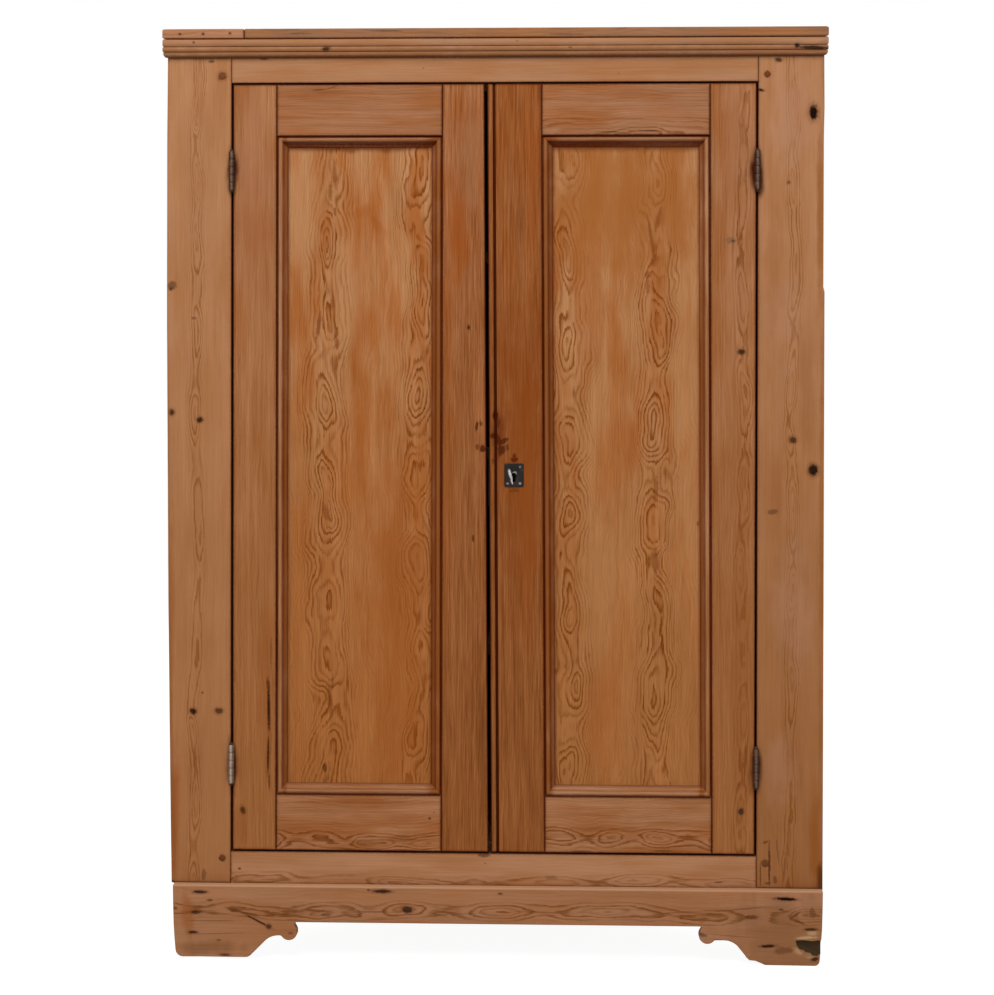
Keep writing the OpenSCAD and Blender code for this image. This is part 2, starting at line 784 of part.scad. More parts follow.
module right_lower_hinge_door_leaf() { place() at_right_hinge(hinge_z[0]) door_leaf(); }

module right_upper_hinge_door_leaf() { place() at_right_hinge(hinge_z[1]) door_leaf(); }

// Doors

// Panel groove in the frame of a door, along the edges of the field between x0 and x1
module panel_groove(field) {
    block([field[0] - groove_d, panel_y - wood_fit, field_z0 - groove_d],
        [field[1] + groove_d, panel_y + panel_t + wood_fit, field_z1 + groove_d]);
}

// A stile of a door from x0 to x1, mortised right through for the rails' tenons
module door_stile(x0, x1, field) {
    difference() {
        block([x0, door_y0, door_z0], [x1, door_y1, door_z1]);
        for (t = door_tenons)
            block([x0 - 1, door_tenon_y - wood_fit, t[0] - wood_fit],
                [x1 + 1, door_tenon_y + door_tenon_t + wood_fit, t[1] + wood_fit]);
        panel_groove(field);
    }
}

// A rail of a door between the stiles, with tenons that reach the door's outer edges
module door_rail(x0, x1, field, z, tenon) {
    difference() {
        union() {
            block([field[0], door_y0, z[0]], [field[1], door_y1, z[1]]);
            block([x0 + wood_fit, door_tenon_y, tenon[0]],
                [x1 - wood_fit, door_tenon_y + door_tenon_t, tenon[1]]);
        }
        panel_groove(field);
    }
}

// Section of a panel between two edges of its field, thicker behind its bevels
module panel_section(a, b) {
    lap = groove_d - panel_play;
    back = panel_t + panel_back;
    polygon([
        [a - lap, 0], [b + lap, 0], [b + lap, panel_t], [b - 1, panel_t], [b - panel_bevel_w, back],
        [a + panel_bevel_w, back], [a + 1, panel_t], [a - lap, panel_t]
    ]);
}

module door_panel(field) {
    color(pine) intersection() {
        translate([0, panel_y, 0]) linear_extrude(big) panel_section(field[0], field[1]);
        translate([-big / 2, panel_y, 0]) rotate([90, 0, 90]) linear_extrude(big)
            mirror([1, -1]) panel_section(field_z0, field_z1);
    }
}

// Section of the panel moulding: a round nose beside the frame, a step and a hollow down to the panel
module mould_section() {
    nose_z = panel_sink - nose_r;
    hollow_x = nose_in + 2 * nose_r + fillet_w;
    hollow_w = mould_w - hollow_x;
    polygon(concat(
        [[0, 0], [0, nose_z], [nose_in, nose_z]],
        arc(nose_in + nose_r, nose_z, nose_r, 170, 10, 8),
        [[nose_in + 2 * nose_r, fillet_h], [hollow_x, fillet_h]],
        [for (a = [15 : 15 : 90])
            [hollow_x + hollow_w * (1 - cos(a)), fillet_h - (fillet_h - mould_toe) * sin(a)]],
        [[mould_w, 0]]
    ));
}

// One mitred length of moulding along x, on a panel in the xy plane
module mould_length(l) {
    g = mitre_gap / root2;
    intersection() {
        rotate([90, 0, 90]) linear_extrude(l) mould_section();
        translate([0, 0, -1]) linear_extrude(panel_sink + 2)
            polygon([[g, 0], [l - g, 0], [l - mould_w - g, mould_w], [mould_w + g, mould_w]]);
    }
}

// Four mitred lengths round a field
module door_moulding(field) {
    w = field[1] - field[0];
    h = field_z1 - field_z0;
    corners = [[field[0], field_z0], [field[1], field_z0], [field[1], field_z1], [field[0], field_z1]];
    color(pine_dark) for (i = [0 : 3])
        translate([corners[i][0], panel_y, corners[i][1]]) rotate([0, -90 * i, 0]) rotate([90, 0, 0])
            mould_length(i % 2 == 0 ? w : h);
}

// Left door

module left_door_hinge_stile() {
    place() color(pine) difference() {
        door_stile(left_x0, left_field[0], left_field);
        for (z = hinge_z) at_left_hinge(z) mirror([1, 0, 0]) leaf_pocket();
    }
}

module left_door_meeting_stile() {
    place() color(pine) difference() {
        door_stile(left_field[1], left_x1, left_field);
        left_fixing_screws(screw_fit);
    }
}

module left_door_bottom_rail() {
    place() color(pine) difference() {
        door_rail(left_x0, left_x1, left_field, [door_z0, field_z0], door_tenons[0]);
        left_fixing_screws(screw_fit);
    }
}

module left_door_top_rail() {
    place() color(pine) difference() {
        door_rail(left_x0, left_x1, left_field, [field_z1, door_z1], door_tenons[1]);
        left_fixing_screws(screw_fit);
    }
}

module left_door_panel() { place() door_panel(left_field); }

module left_door_moulding() { place() door_moulding(left_field); }

// Right door

// Section of the groove beside the bead and of the bead's round, cut from the meeting stile's front edge
module bead_cut() {
    r = bead_w / 2;
    x = right_x0;
    y = door_y0;
    linear_extrude(big) {
        translate([x + bead_w, y - 1]) square([quirk_w, quirk_d + 1]);
        difference() {
            translate([x - 1, y - 1]) square([bead_w + 1, r + 1]);
            translate([x + r, y + r]) circle(r);
        }
    }
}

module keyhole_shape() {
    circle(keyhole_r);
    translate([-keyhole_w / 2, -keyhole_drop]) square([keyhole_w, keyhole_drop]);
}

// The keyhole cut along y, from y0 to y1
module keyhole(y0, y1) {
    translate([key_x, y1, key_z]) rotate([90, 0, 0]) linear_extrude(y1 - y0) keyhole_shape();
}

module right_door_meeting_stile() {
    place() color(pine) difference() {
        door_stile(right_x0, right_field[0], right_field);
        translate([0, 0, -1]) bead_cut();
        keyhole(door_y0 - 1, door_y1 + 1);
        lock_screws(screw_fit);
        pin_places() translate([0, 0, -1])
            cylinder(h = pin_l + 1 + screw_fit, r = escutcheon_pin_r + screw_fit);
    }
}

module right_door_hinge_stile() {
    place() color(pine) difference() {
        door_stile(right_field[1], right_x1, right_field);
        for (z = hinge_z) at_right_hinge(z) mirror([1, 0, 0]) leaf_pocket();
    }
}

module right_door_bottom_rail() {
    place() color(pine) door_rail(right_x0, right_x1, right_field, [door_z0, field_z0], door_tenons[0]);
}

module right_door_top_rail() {
    place() color(pine) door_rail(right_x0, right_x1, right_field, [field_z1, door_z1], door_tenons[1]);
}

module right_door_panel() { place() door_panel(right_field); }

module right_door_moulding() { place() door_moulding(right_field); }

// Keyhole plate

// The four pins of the keyhole plate, each along z into the door, from the plate's front face
module pin_places() {
    dx = escutcheon_w / 2 - pin_inset;
    dz = escutcheon_h / 2 - pin_inset;
    for (x = [-dx, dx], z = [-dz, dz])
        translate([key_x + x, door_y0, key_z + z]) rotate([-90, 0, 0]) children();
}

// A rectangle with round corners, about its own middle
module round_plate(w, h, r) {
    square([w, h - 2 * r], center = true);
    square([w - 2 * r, h], center = true);
    for (x = [-1, 1], y = [-1, 1]) translate([x * (w / 2 - r), y * (h / 2 - r)]) circle(r);
}

module escutcheon() {
    place() color(iron) difference() {
        translate([key_x, door_y0, key_z]) rotate([90, 0, 0]) linear_extrude(escutcheon_t) difference() {
            round_plate(escutcheon_w, escutcheon_h, escutcheon_corner_r);
            keyhole_shape();
        }
        pin_places() translate([0, 0, -escutcheon_t - 1])
            cylinder(h = escutcheon_t + 2, r = escutcheon_pin_r + screw_fit);
    }
}

// Pins with low domed heads that hold the plate
module escutcheon_pins() {
    head_r = 2 * escutcheon_pin_r;
    place() color(iron) pin_places() translate([0, 0, -escutcheon_t]) {
        cylinder(h = escutcheon_t + pin_l, r = escutcheon_pin_r);
        rotate([180, 0, 0]) rotate_extrude()
            polygon(concat([[0, 0]], arc(0, -head_r, head_r * root2, 45, 90, 6)));
    }
}

// Lock on the back of the right door

module lock_screws(grow = 0) {
    for (x = [screw_inset, case_w - screw_inset], z = lock_screw_z)
        translate([case_x + x, plate_y + sheet_t, z]) rotate([90, 0, 0]) screw(grow);
}

// Flat plate between the door and the case, with flanges for the screws
module lock_plate() {
    z0 = case_z - plate_flange;
    z1 = case_z + case_h + plate_flange;
    place() color(iron) difference() {
        block([case_x, plate_y, z0], [case_x + case_w, plate_y + sheet_t, z1]);
        keyhole(plate_y - 1, plate_y + sheet_t + 1);
        lock_screws(screw_fit);
    }
}

// Sheet iron box with a slot for the bolt in the side towards the other door
module lock_case() {
    a = [case_x, case_y, case_z];
    b = a + [case_w, case_d, case_h];
    wall = [sheet_t, sheet_t, sheet_t];
    slot = [iron_fit, iron_fit, iron_fit];
    place() color(iron) difference() {
        block(a, b);
        block([a[0] + sheet_t, a[1] - 1, a[2] + sheet_t], b - wall);
        block([case_x - 1, lock_bolt_y, lock_bolt_z] - slot,
            [case_x + sheet_t + 1, lock_bolt_y + lock_bolt_t, lock_bolt_z + lock_bolt_h] + slot);
    }
}

// The bolt: a flat bar with a notch underneath where the key's bit turns
module lock_bolt() {
    notch_r = 8;
    place() color(iron) difference() {
        block([case_x, lock_bolt_y, lock_bolt_z],
            [case_x + lock_bolt_l, lock_bolt_y + lock_bolt_t, lock_bolt_z + lock_bolt_h]);
        translate([key_x, lock_bolt_y - 1, lock_bolt_z - notch_r / 3]) rotate([-90, 0, 0])
            cylinder(h = lock_bolt_t + 2, r = notch_r);
    }
}

// A bowed strip of spring steel between the bolt's top and the case
module lock_spring() {
    chord = lock_bolt_l - 12;
    span = 2 * atan(2 * spring_rise / chord);
    r = chord / 2 / sin(span);
    w = lock_bolt_t - 2;
    x = case_x + lock_bolt_l / 2 + 2;
    z = lock_bolt_z + lock_bolt_h + iron_fit / 2 + spring_rise - r;
    inner = arc(0, 0, r, 90 - span, 90 + span, 16);
    outer = arc(0, 0, r + spring_t, 90 + span, 90 - span, 16);
    place() color(iron) translate([x, lock_bolt_y + 1 + w, z]) rotate([90, 0, 0])
        linear_extrude(w) polygon(concat(inner, outer));
}

// Iron box on the back of the left door that the lock's bolt shoots into
module lock_keeper() {
    x0 = keeper_x1 - keeper_w;
    y1 = lock_bolt_y + lock_bolt_t + keeper_room;
    z0 = lock_bolt_z - keeper_room;
    z1 = lock_bolt_z + lock_bolt_h + keeper_room;
    place() color(iron) difference() {
        union() {
            block([x0, door_y1, z0 - keeper_t], [keeper_x1, y1 + keeper_t, z1 + keeper_t]);
            block([x0, door_y1, z0 - keeper_foot], [keeper_x1, door_y1 + keeper_t, z1 + keeper_foot]);
        }
        block([x0 + keeper_t, lock_bolt_y - keeper_room, z0], [keeper_x1 + 1, y1, z1]);
        keeper_screws(screw_fit);
    }
}

module keeper_screws(grow = 0) {
    mid = lock_bolt_z + lock_bolt_h / 2;
    reach = lock_bolt_h / 2 + keeper_room + keeper_foot - 2 * screw_head_r;
    for (z = [mid - reach, mid + reach])
        translate([keeper_x1 - keeper_w / 2, door_y1 + keeper_t, z]) rotate([90, 0, 0]) screw(grow);
}

// Bolts at the top and bottom of the left door

// Height of a bolt plate's lower edge
function plate_z(top) = top ? top_rod_end - plate_back - bolt_plate_h : bottom_rod_end + plate_back;

// Heights of the two staples that hold a rod
function staple_z(top) =
    [plate_z(top) + staple_inset, plate_z(top) + bolt_plate_h - staple_inset - staple_w];

module bolt_plate_screws(top, grow = 0) {
    dx = bolt_plate_w / 2 - 1.5 * screw_head_r;
    for (x = [-dx, dx], z = [screw_inset, bolt_plate_h - screw_inset])
        translate([bolt_x + x, door_y1 + bolt_plate_t, plate_z(top) + z]) rotate([90, 0, 0]) screw(grow);
}

// A plate with two staples that stand over the rod
module bolt_plate(top) {
    ring = rod_r + iron_fit + staple_t;
    color(iron) difference() {
        union() {
            block([bolt_x - bolt_plate_w / 2, door_y1, plate_z(top)],
                [bolt_x + bolt_plate_w / 2, door_y1 + bolt_plate_t, plate_z(top) + bolt_plate_h]);
            for (z = staple_z(top)) {
                block([bolt_x - ring, door_y1, z], [bolt_x + ring, rod_y, z + staple_w]);
                translate([bolt_x, rod_y, z]) cylinder(h = staple_w, r = ring);
            }
        }
        for (z = staple_z(top)) translate([bolt_x, rod_y, z - 1])
            cylinder(h = staple_w + 2, r = rod_r + iron_fit);
        block([bolt_x - ring, door_y1 - ring, plate_z(top)],
            [bolt_x + ring, door_y1, plate_z(top) + bolt_plate_h]);
        bolt_plate_screws(top, screw_fit);
    }
}

module top_bolt_plate() { place() bolt_plate(true); }

module bottom_bolt_plate() { place() bolt_plate(false); }

// A round rod with a knob to push it by. At rest it is drawn back
module door_bolt(top) {
    rod_z = top ? top_rod_end - rod_l : bottom_rod_end;
    gap = staple_z(top)[0] + staple_w;
    knob_z = top ? gap + rod_r + 2 : staple_z(top)[1] - rod_r - 2;
    knob_r = rod_r * 0.75;
    color(iron) {
        translate([bolt_x, rod_y, rod_z]) cylinder(h = rod_l, r = rod_r);
        translate([bolt_x, rod_y, knob_z]) rotate([-90, 0, 0]) cylinder(h = knob_l, r = knob_r);
        translate([bolt_x, rod_y + knob_l, knob_z]) sphere(r = rod_r);
    }
}

module top_bolt() { place() door_bolt(true); }

module bottom_bolt() { place() door_bolt(false); }

module left_fixing_screws(grow = 0) {
    for (top = [false, true]) bolt_plate_screws(top, grow);
    keeper_screws(grow);
}

module left_door_screws() {
    place() color(iron) {
        for (z = hinge_z) at_left_hinge(z) mirror([1, 0, 0]) leaf_screws();
        left_fixing_screws();
    }
}

module right_door_screws() {
    place() color(iron) {
        for (z = hinge_z) at_right_hinge(z) mirror([1, 0, 0]) leaf_screws();
        lock_screws();
    }
}

left_stile();
right_stile();
top_rail();
bottom_rail();
frame_pegs();
plinth_board();
foot_blocks();
corner_post();
bottom_board();
lower_shelf();
middle_shelf();
upper_shelf();
shelf_battens();
door_stop();
top_boards();
cap_strips();
cornice_moulding();
left_wall_front_board();
left_wall_middle_board();
left_wall_back_board();
right_wall_front_board();
right_wall_middle_board();
right_wall_back_board();
wall_nails();
left_upper_hinge_frame_leaf();
left_lower_hinge_frame_leaf();
right_upper_hinge_frame_leaf();
right_lower_hinge_frame_leaf();
hinge_pins();
frame_screws();
left_door_hinge_stile();
left_door_meeting_stile();
left_door_top_rail();
left_door_bottom_rail();
left_door_panel();
left_door_moulding();
left_upper_hinge_door_leaf();
left_lower_hinge_door_leaf();
left_door_screws();
top_bolt_plate();
bottom_bolt_plate();
lock_keeper();
top_bolt();
bottom_bolt();
right_door_hinge_stile();
right_door_meeting_stile();
right_door_top_rail();
right_door_bottom_rail();
right_door_panel();
right_door_moulding();
right_upper_hinge_door_leaf();
right_lower_hinge_door_leaf();
right_door_screws();
escutcheon();
escutcheon_pins();
lock_case();
lock_plate();
lock_bolt();
lock_spring();
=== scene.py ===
# Pine corner cupboard: worn boards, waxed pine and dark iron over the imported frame. Shapes are worked out in
# metres. The values in the dictionaries and in the materials are in millimetres, unless a note says more.
import json
import math

import bmesh
import bpy
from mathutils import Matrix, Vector, noise


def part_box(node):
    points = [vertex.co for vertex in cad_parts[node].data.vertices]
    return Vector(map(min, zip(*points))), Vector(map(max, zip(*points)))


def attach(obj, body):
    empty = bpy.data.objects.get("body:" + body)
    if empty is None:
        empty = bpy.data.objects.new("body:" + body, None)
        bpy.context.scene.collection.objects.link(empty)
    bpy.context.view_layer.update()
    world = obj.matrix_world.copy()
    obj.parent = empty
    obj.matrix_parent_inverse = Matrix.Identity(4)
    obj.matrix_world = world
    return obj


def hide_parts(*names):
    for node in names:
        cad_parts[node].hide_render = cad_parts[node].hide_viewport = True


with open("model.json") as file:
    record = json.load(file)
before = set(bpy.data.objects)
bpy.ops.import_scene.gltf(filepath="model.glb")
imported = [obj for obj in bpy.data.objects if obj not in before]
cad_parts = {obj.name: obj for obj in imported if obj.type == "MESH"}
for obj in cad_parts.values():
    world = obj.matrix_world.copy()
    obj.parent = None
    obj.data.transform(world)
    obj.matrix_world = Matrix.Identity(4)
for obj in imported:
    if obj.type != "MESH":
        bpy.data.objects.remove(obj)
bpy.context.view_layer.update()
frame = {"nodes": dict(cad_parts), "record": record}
nodes = frame["nodes"]
scene = bpy.context.scene
mm = 0.001
root = math.sqrt(0.5)
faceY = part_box("top_rail")[0].y  # the frame's face
lockHeight = 0.826
hingeX = 446.5  # from the middle to the hinges' pins. From here on in millimetres
hingeHeights = (331.5, 1343.5)
plinthTop = 127.0
corniceFoot = 1537.0
print("frame loaded:", len(nodes), "nodes")


# Shader building

class Signal:
    # One socket of a node tree, so that shader maths reads as sums

    def __init__(self, paint, socket):
        self.paint = paint
        self.socket = socket

    def maths(self, operation, *values):
        return self.paint.node("Math", {"operation": operation}, list(values))

    def __add__(self, other):
        return self.maths("ADD", self, other)

    def __radd__(self, other):
        return self.maths("ADD", other, self)

    def __sub__(self, other):
        return self.maths("SUBTRACT", self, other)

    def __rsub__(self, other):
        return self.maths("SUBTRACT", other, self)

    def __mul__(self, other):
        return self.maths("MULTIPLY", self, other)

    def __rmul__(self, other):
        return self.maths("MULTIPLY", other, self)

    def __abs__(self):
        return self.maths("ABSOLUTE", self)

    def least(self, other):
        return self.maths("MINIMUM", self, other)

    def most(self, other):
        return self.maths("MAXIMUM", self, other)

    def fract(self):
        return self.maths("FRACT", self)

    def sine(self):
        return self.maths("SINE", self)

    def scaled(self, factor, added):
        return self.maths("MULTIPLY_ADD", self, factor, added)

    # 0 up to start, 1 from end on, and a smooth rise between
    def rise(self, start, end, low=0.0, high=1.0):
        values = [self, start, end, low, high]
        return self.paint.node("MapRange", {"interpolation_type": "SMOOTHSTEP"}, values)


class Paint:
    # The node tree of one material, or of the world

    def __init__(self, owner):
        self.owner = owner
        owner.use_nodes = True
        self.tree = owner.node_tree
        self.tree.nodes.clear()

    def feed(self, socket, value):
        if isinstance(value, Signal):
            self.tree.links.new(value.socket, socket)
        else:
            socket.default_value = value

    def node(self, kind, settings=None, values=None, out=0):
        made = self.tree.nodes.new("ShaderNode" + kind)
        for key, value in (settings or {}).items():
            setattr(made, key, value)
        pairs = values.items() if isinstance(values, dict) else enumerate(values or [])
        for key, value in pairs:
            self.feed(made.inputs[key], value)
        return Signal(self, made.outputs[out]) if made.outputs else made

    # The place on the piece in millimetres, in the shared frame
    def place(self):
        found = self.node("TexCoord", out="Object")
        found = self.node("VectorMath", {"operation": "SCALE"}, {"Vector": found, "Scale": 1000.0})
        split = self.node("SeparateXYZ", values=[found])
        return [Signal(self, socket) for socket in split.socket.node.outputs]

    def vector(self, x, y, z):
        return self.node("CombineXYZ", values=[x, y, z])

    def length(self, x, y):
        return self.node("VectorMath", {"operation": "LENGTH"}, [self.vector(x, y, 0.0)], out="Value")

    # Noise about 0 whose cells have the given lengths
    def cloud(self, place, lengths, detail=1.0, seed=0.0, rough=0.5):
        cells = self.vector(*[part * (1 / length) for part, length in zip(place, lengths)])
        moved = self.node("VectorMath", {"operation": "ADD"}, [cells, (seed, 2.3 * seed, 4.1 * seed)])
        values = {"Vector": moved, "Scale": 1.0, "Detail": detail, "Roughness": rough}
        return self.node("TexNoise", {"noise_dimensions": "3D"}, values) - 0.5

    # A line through (input, output) points, both from 0 to 1
    def curve(self, value, points):
        made = self.node("FloatCurve", values={"Value": value})
        mapping = made.socket.node.mapping
        line = mapping.curves[0]
        for index, point in enumerate(sorted(points)):
            if index < 2:
                line.points[index].location = point
            else:
                line.points.new(*point)
        mapping.update()
        return made

    def mix(self, first, second, share):
        return self.node("Mix", {"data_type": "RGBA"}, {0: share, 6: first, 7: second}, out=2)

    # How far a place is inside edges (x0, x1, z0, z1) whose upright ones have moved and lean over a metre
    def inside(self, x, z, edges, leans):
        x0, x1, z0, z1 = edges
        (leftMoved, leftLean), (rightMoved, rightLean) = leans
        left = z.scaled(leftLean / 1000, -x0 - leftMoved - leftLean * lockHeight) + x
        right = z.scaled(-rightLean / 1000, x1 + rightMoved + rightLean * lockHeight) - x
        return left.least(right).least((z - z0).least(z1 - z))

    # Ragged spots: each has a place and half sizes in millimetres, a strength and perhaps a turn in degrees
    def spots(self, x, z, ragged, spots, full=0.55, gone=1.15):
        total = None
        for spotX, spotZ, halfX, halfZ, strength, *turn in spots:
            angle = math.radians(turn[0]) if turn else 0.0
            c = math.cos(angle)
            s = math.sin(angle)
            p = x.scaled(c / halfX, z.scaled(s / halfX, -(c * spotX + s * spotZ) / halfX))
            q = x.scaled(-s / halfZ, z.scaled(c / halfZ, (s * spotX - c * spotZ) / halfZ))
            mask = (self.length(p, q) + ragged).rise(full, gone, strength, 0.0)
            total = mask if total is None else total.most(mask)
        return total

    def surface(self, values):
        shader = self.node("BsdfPrincipled", values=values)
        self.node("OutputMaterial", values={"Surface": shader})
        return self.owner

    # 1 for rays from the camera, from gloss and through glass, which are to see the white background
    def seen(self):
        rays = self.node("LightPath").socket.node.outputs
        kinds = ("Is Camera Ray", "Is Glossy Ray", "Is Transmission Ray")
        camera, gloss, glass = [Signal(self, rays[kind]) for kind in kinds]
        return camera.most(gloss).most(glass)


# A colour as it looks on screen, from 0 to 255, as the linear colour that the shaders take
def tint(red, green, blue):
    linear = [((c / 255 + 0.055) / 1.055) ** 2.4 for c in (red, green, blue)]
    return (*linear, 1.0)


pineLooks = {
    "fibre": 0.16,  # how much the fine fibres change the colour
    "streak": 0.10,  # how much the broad streaks do
    "ringWidth": 4.8,  # millimetres between growth rings
    "swell": 22.0,  # how far the heart line shifts in depth from place to place
    "crinkle": 6.0,  # how far the rings waver near the heart of a figure
    "wiggle": 17.0,  # how far they waver from side to side
    "figureReach": 34.0,  # millimetres from a figure's middle to the plain straight grain
    "jag": 4.0,  # how far the fibres draw the rings out along the grain
    "squash": 1.0,  # how much narrower than round the rings are
    "faint": 0.5,  # how much of the late wood is left where it fades
    "bump": 0.25,
    "gloss": 0.02,
    "lineFull": 0.4,  # millimetres from a board's edge to where its dark line is still full, and gone
    "lineGone": 1.9,
    "grimeAndShadeDepth": 0.0,  # how far behind the face the grime and painted shade at the edges go, or 0 for all the way
    "faceDepth": faceY / mm,  # where the board's face is across its grain
    "spotColour": tint(26, 12, 6),
    "haloColour": tint(96, 48, 22),
    "grimeColour": tint(78, 30, 8),
    "hollowColour": tint(72, 56, 38),
    "leans": ((0, 0), (0, 0)),  # how the left and right edges have moved and lean
}

# Noise in the wood: the length of its cells along, across and into the board in millimetres, its detail,
# what it adds to the board's seed, and its roughness
pineClouds = {
    "wander": ((260, 900, 900), 1.0, 0, 0.5),
    "wiggle": ((90, 90, 300), 1.5, 2, 0.5),
    "swell": ((105, 44, 300), 1.0, 3, 0.5),
    "crinkle": ((34, 13, 90), 1.0, 5, 0.5),
    "fine": ((10, 5, 60), 1.0, 7, 0.5),
    "jag": ((30, 1.5, 2), 2.0, 9, 0.6),
    "fibre": ((70, 1.7, 1.9), 2.0, 11, 0.7),
    "streak": ((240, 6, 9), 2.0, 13, 0.6),
    "fade": ((60, 13, 40), 1.5, 17, 0.5),
    "blotch": ((190, 48, 90), 2.0, 19, 0.5),
    "warm": ((150, 34, 60), 2.0, 23, 0.5),
}


class PineBoard:
    # The paint of one board, with places along (u), across (v) and into it (w), and its noise

    def __init__(self, name, values):
        self.looks = {**pineLooks, **values}
        self.paint = Paint(bpy.data.materials.new(name))
        x, y, z = self.paint.place()
        grains = {
            "z": (z, x, y), "x": (x, z, y), "flat": (x, y, z),
            "left": (z, (x + y) * root, (y - x) * root), "right": (z, (x - y) * root, (y + x) * root),
        }
        self.x, self.y, self.z = x, y, z
        self.u, self.v, self.w = grains[self.looks["grain"]]
        seed = self.looks["seed"]
        self.clouds = {}
        for key, (lengths, detail, added, rough) in pineClouds.items():
            place = (self.u, self.v, self.w)
            self.clouds[key] = self.paint.cloud(place, lengths, detail, seed + added, rough)
        self.ragged = self.paint.cloud((x, z, y), (5, 5, 5), 2.0, seed + 31) * 1.3
        self.cloudy = self.paint.cloud((x, z, y), (22, 50, 22), 2.0, seed + 33) * 1.6


# Growth rings round heart lines that run along the board at a changing depth, so that the board's face
# cuts them in ovals, arrowheads and straight lines. Gives the late wood, from 0 to 1
def growthRings(wood):
    paint = wood.paint
    looks = wood.looks
    clouds = wood.clouds
    wander = clouds["wander"] * 26
    wiggle = clouds["wiggle"] * looks["wiggle"]
    swell = clouds["swell"] * looks["swell"]
    crinkle = clouds["crinkle"] * looks["crinkle"]
    fine = clouds["fine"] * (0.22 * looks["crinkle"])
    rough = swell + crinkle + fine + (wood.w - looks["faceDepth"])
    low, high = looks["span"]
    deepest = 60.0  # the depth that a curve's 1 stands for
    otherTree = 61.0  # so that two figures side by side don't share their rings
    share = wood.u.scaled(1 / (high - low), -low / (high - low))
    rings = None
    near = None
    hearts = looks["hearts"] if "hearts" in looks else [(looks["heart"], looks["depths"])]
    for number, (heart, depths) in enumerate(hearts):
        points = [((at - low) / (high - low), depth / deepest) for at, depth in depths]
        depth = paint.curve(share, points) * deepest + rough
        away = wood.v - wander - wiggle - heart
        ring = paint.length(away * looks["squash"], depth)
        close = abs(away).rise(looks["figureReach"] * 0.35, looks["figureReach"], 1.0, looks["plain"])
        if rings is None:
            rings = ring
            near = close
        else:
            seam = (wood.v - looks["seams"][number - 1]).rise(-0.2, 0.2)
            rings = rings + (ring + otherTree - rings) * seam
            near = near + (close - near) * seam
    jag = clouds["jag"] * looks["jag"]
    fade = clouds["fade"].rise(-0.2, 0.02, looks["faint"], 1.0)
    count = (rings + jag) * (1 / looks["ringWidth"]) + (rings * 0.13).sine() * 0.4
    phase = count.fract()
    strength = paint.node("TexWhiteNoise", {"noise_dimensions": "1D"}, {"W": count.maths("FLOOR", count)})
    late = phase.rise(0.36, 0.88) * phase.rise(0.94, 1.0, 1.0, 0.0)
    return late * (strength * 0.55 + 0.45) * fade * near


# The wood's colour: early and late wood, warmer patches, painted shade that darkens upright boards towards
# their foot, and fibres that darken towards orange
def woodColour(wood, late):
    paint = wood.paint
    looks = wood.looks
    clouds = wood.clouds
    colour = paint.mix(looks["early"], looks["warm"], clouds["warm"].rise(-0.14, 0.2) * looks["warmth"])
    # painted shade: upright boards darken towards their foot, as the light falls from above
    if "foot" in looks and looks["grain"] == "z":
        low, high = looks["span"]
        colour = paint.mix(colour, looks["foot"], wood.u.rise(low, high, 1.0, 0.0))
    colour = paint.mix(colour, looks["late"], late * looks["contrast"])
    fibre, streak, blotch = [clouds[key] * looks[key] for key in ("fibre", "streak", "blotch")]
    lift = (fibre + streak + blotch) * 2
    lift = paint.vector(lift + 1.0, lift.scaled(1.3, 1.0), lift.scaled(1.75, 1.0))
    return paint.node("VectorMath", {"operation": "MULTIPLY"}, [colour, lift])


# Soft stains, some of them painted shade such as the shadow under the panels' top mouldings, ragged marks and
# dark knots, each a list of spots. Gives the colour and how dark the knots are
def handMarks(wood, colour):
    paint = wood.paint
    looks = wood.looks
    x, z = wood.x, wood.z
    for stainAndShadeTint, spots in looks.get("stains", []):
        colour = paint.mix(colour, stainAndShadeTint, paint.spots(x, z, wood.cloudy, spots, 0.25, 1.3))
    for mark, spots in looks.get("marks", []):
        colour = paint.mix(colour, mark, paint.spots(x, z, wood.ragged * 0.8, spots))
    if "spots" not in looks:
        return colour, None
    halo = [(sx, sz, hx * 1.4 + 1, hz * 1.4 + 1, 0.4 * power, *turn)
            for sx, sz, hx, hz, power, *turn in looks["spots"] if power > 0.6]
    if halo:
        colour = paint.mix(colour, looks["haloColour"], paint.spots(x, z, wood.ragged * 0.35, halo))
    dark = paint.spots(x, z, wood.ragged * 0.6, looks["spots"])
    return paint.mix(colour, looks["spotColour"], dark), dark


# The dark line and the grime along a board's edges, which also paint the shade where boards meet and next to
# the cornice and the mouldings
def edgeGrimeAndShade(wood, colour):
    looks = wood.looks
    edge = wood.paint.inside(wood.x, wood.z, looks["edges"], looks["leans"]) + wood.ragged * 1.2
    line = edge.rise(looks["lineFull"], looks["lineGone"], looks["line"], 0.0)
    spread = edge.rise(0.0, looks["grimeReach"], looks["grime"], 0.0)
    soilAndShade = line.most(spread)
    if looks["grimeAndShadeDepth"]:
        behind = looks["faceDepth"] + looks["grimeAndShadeDepth"]
        soilAndShade = soilAndShade * wood.y.rise(behind, behind + 1, 1.0, 0.0)
    return wood.paint.mix(colour, looks["grimeColour"], soilAndShade)


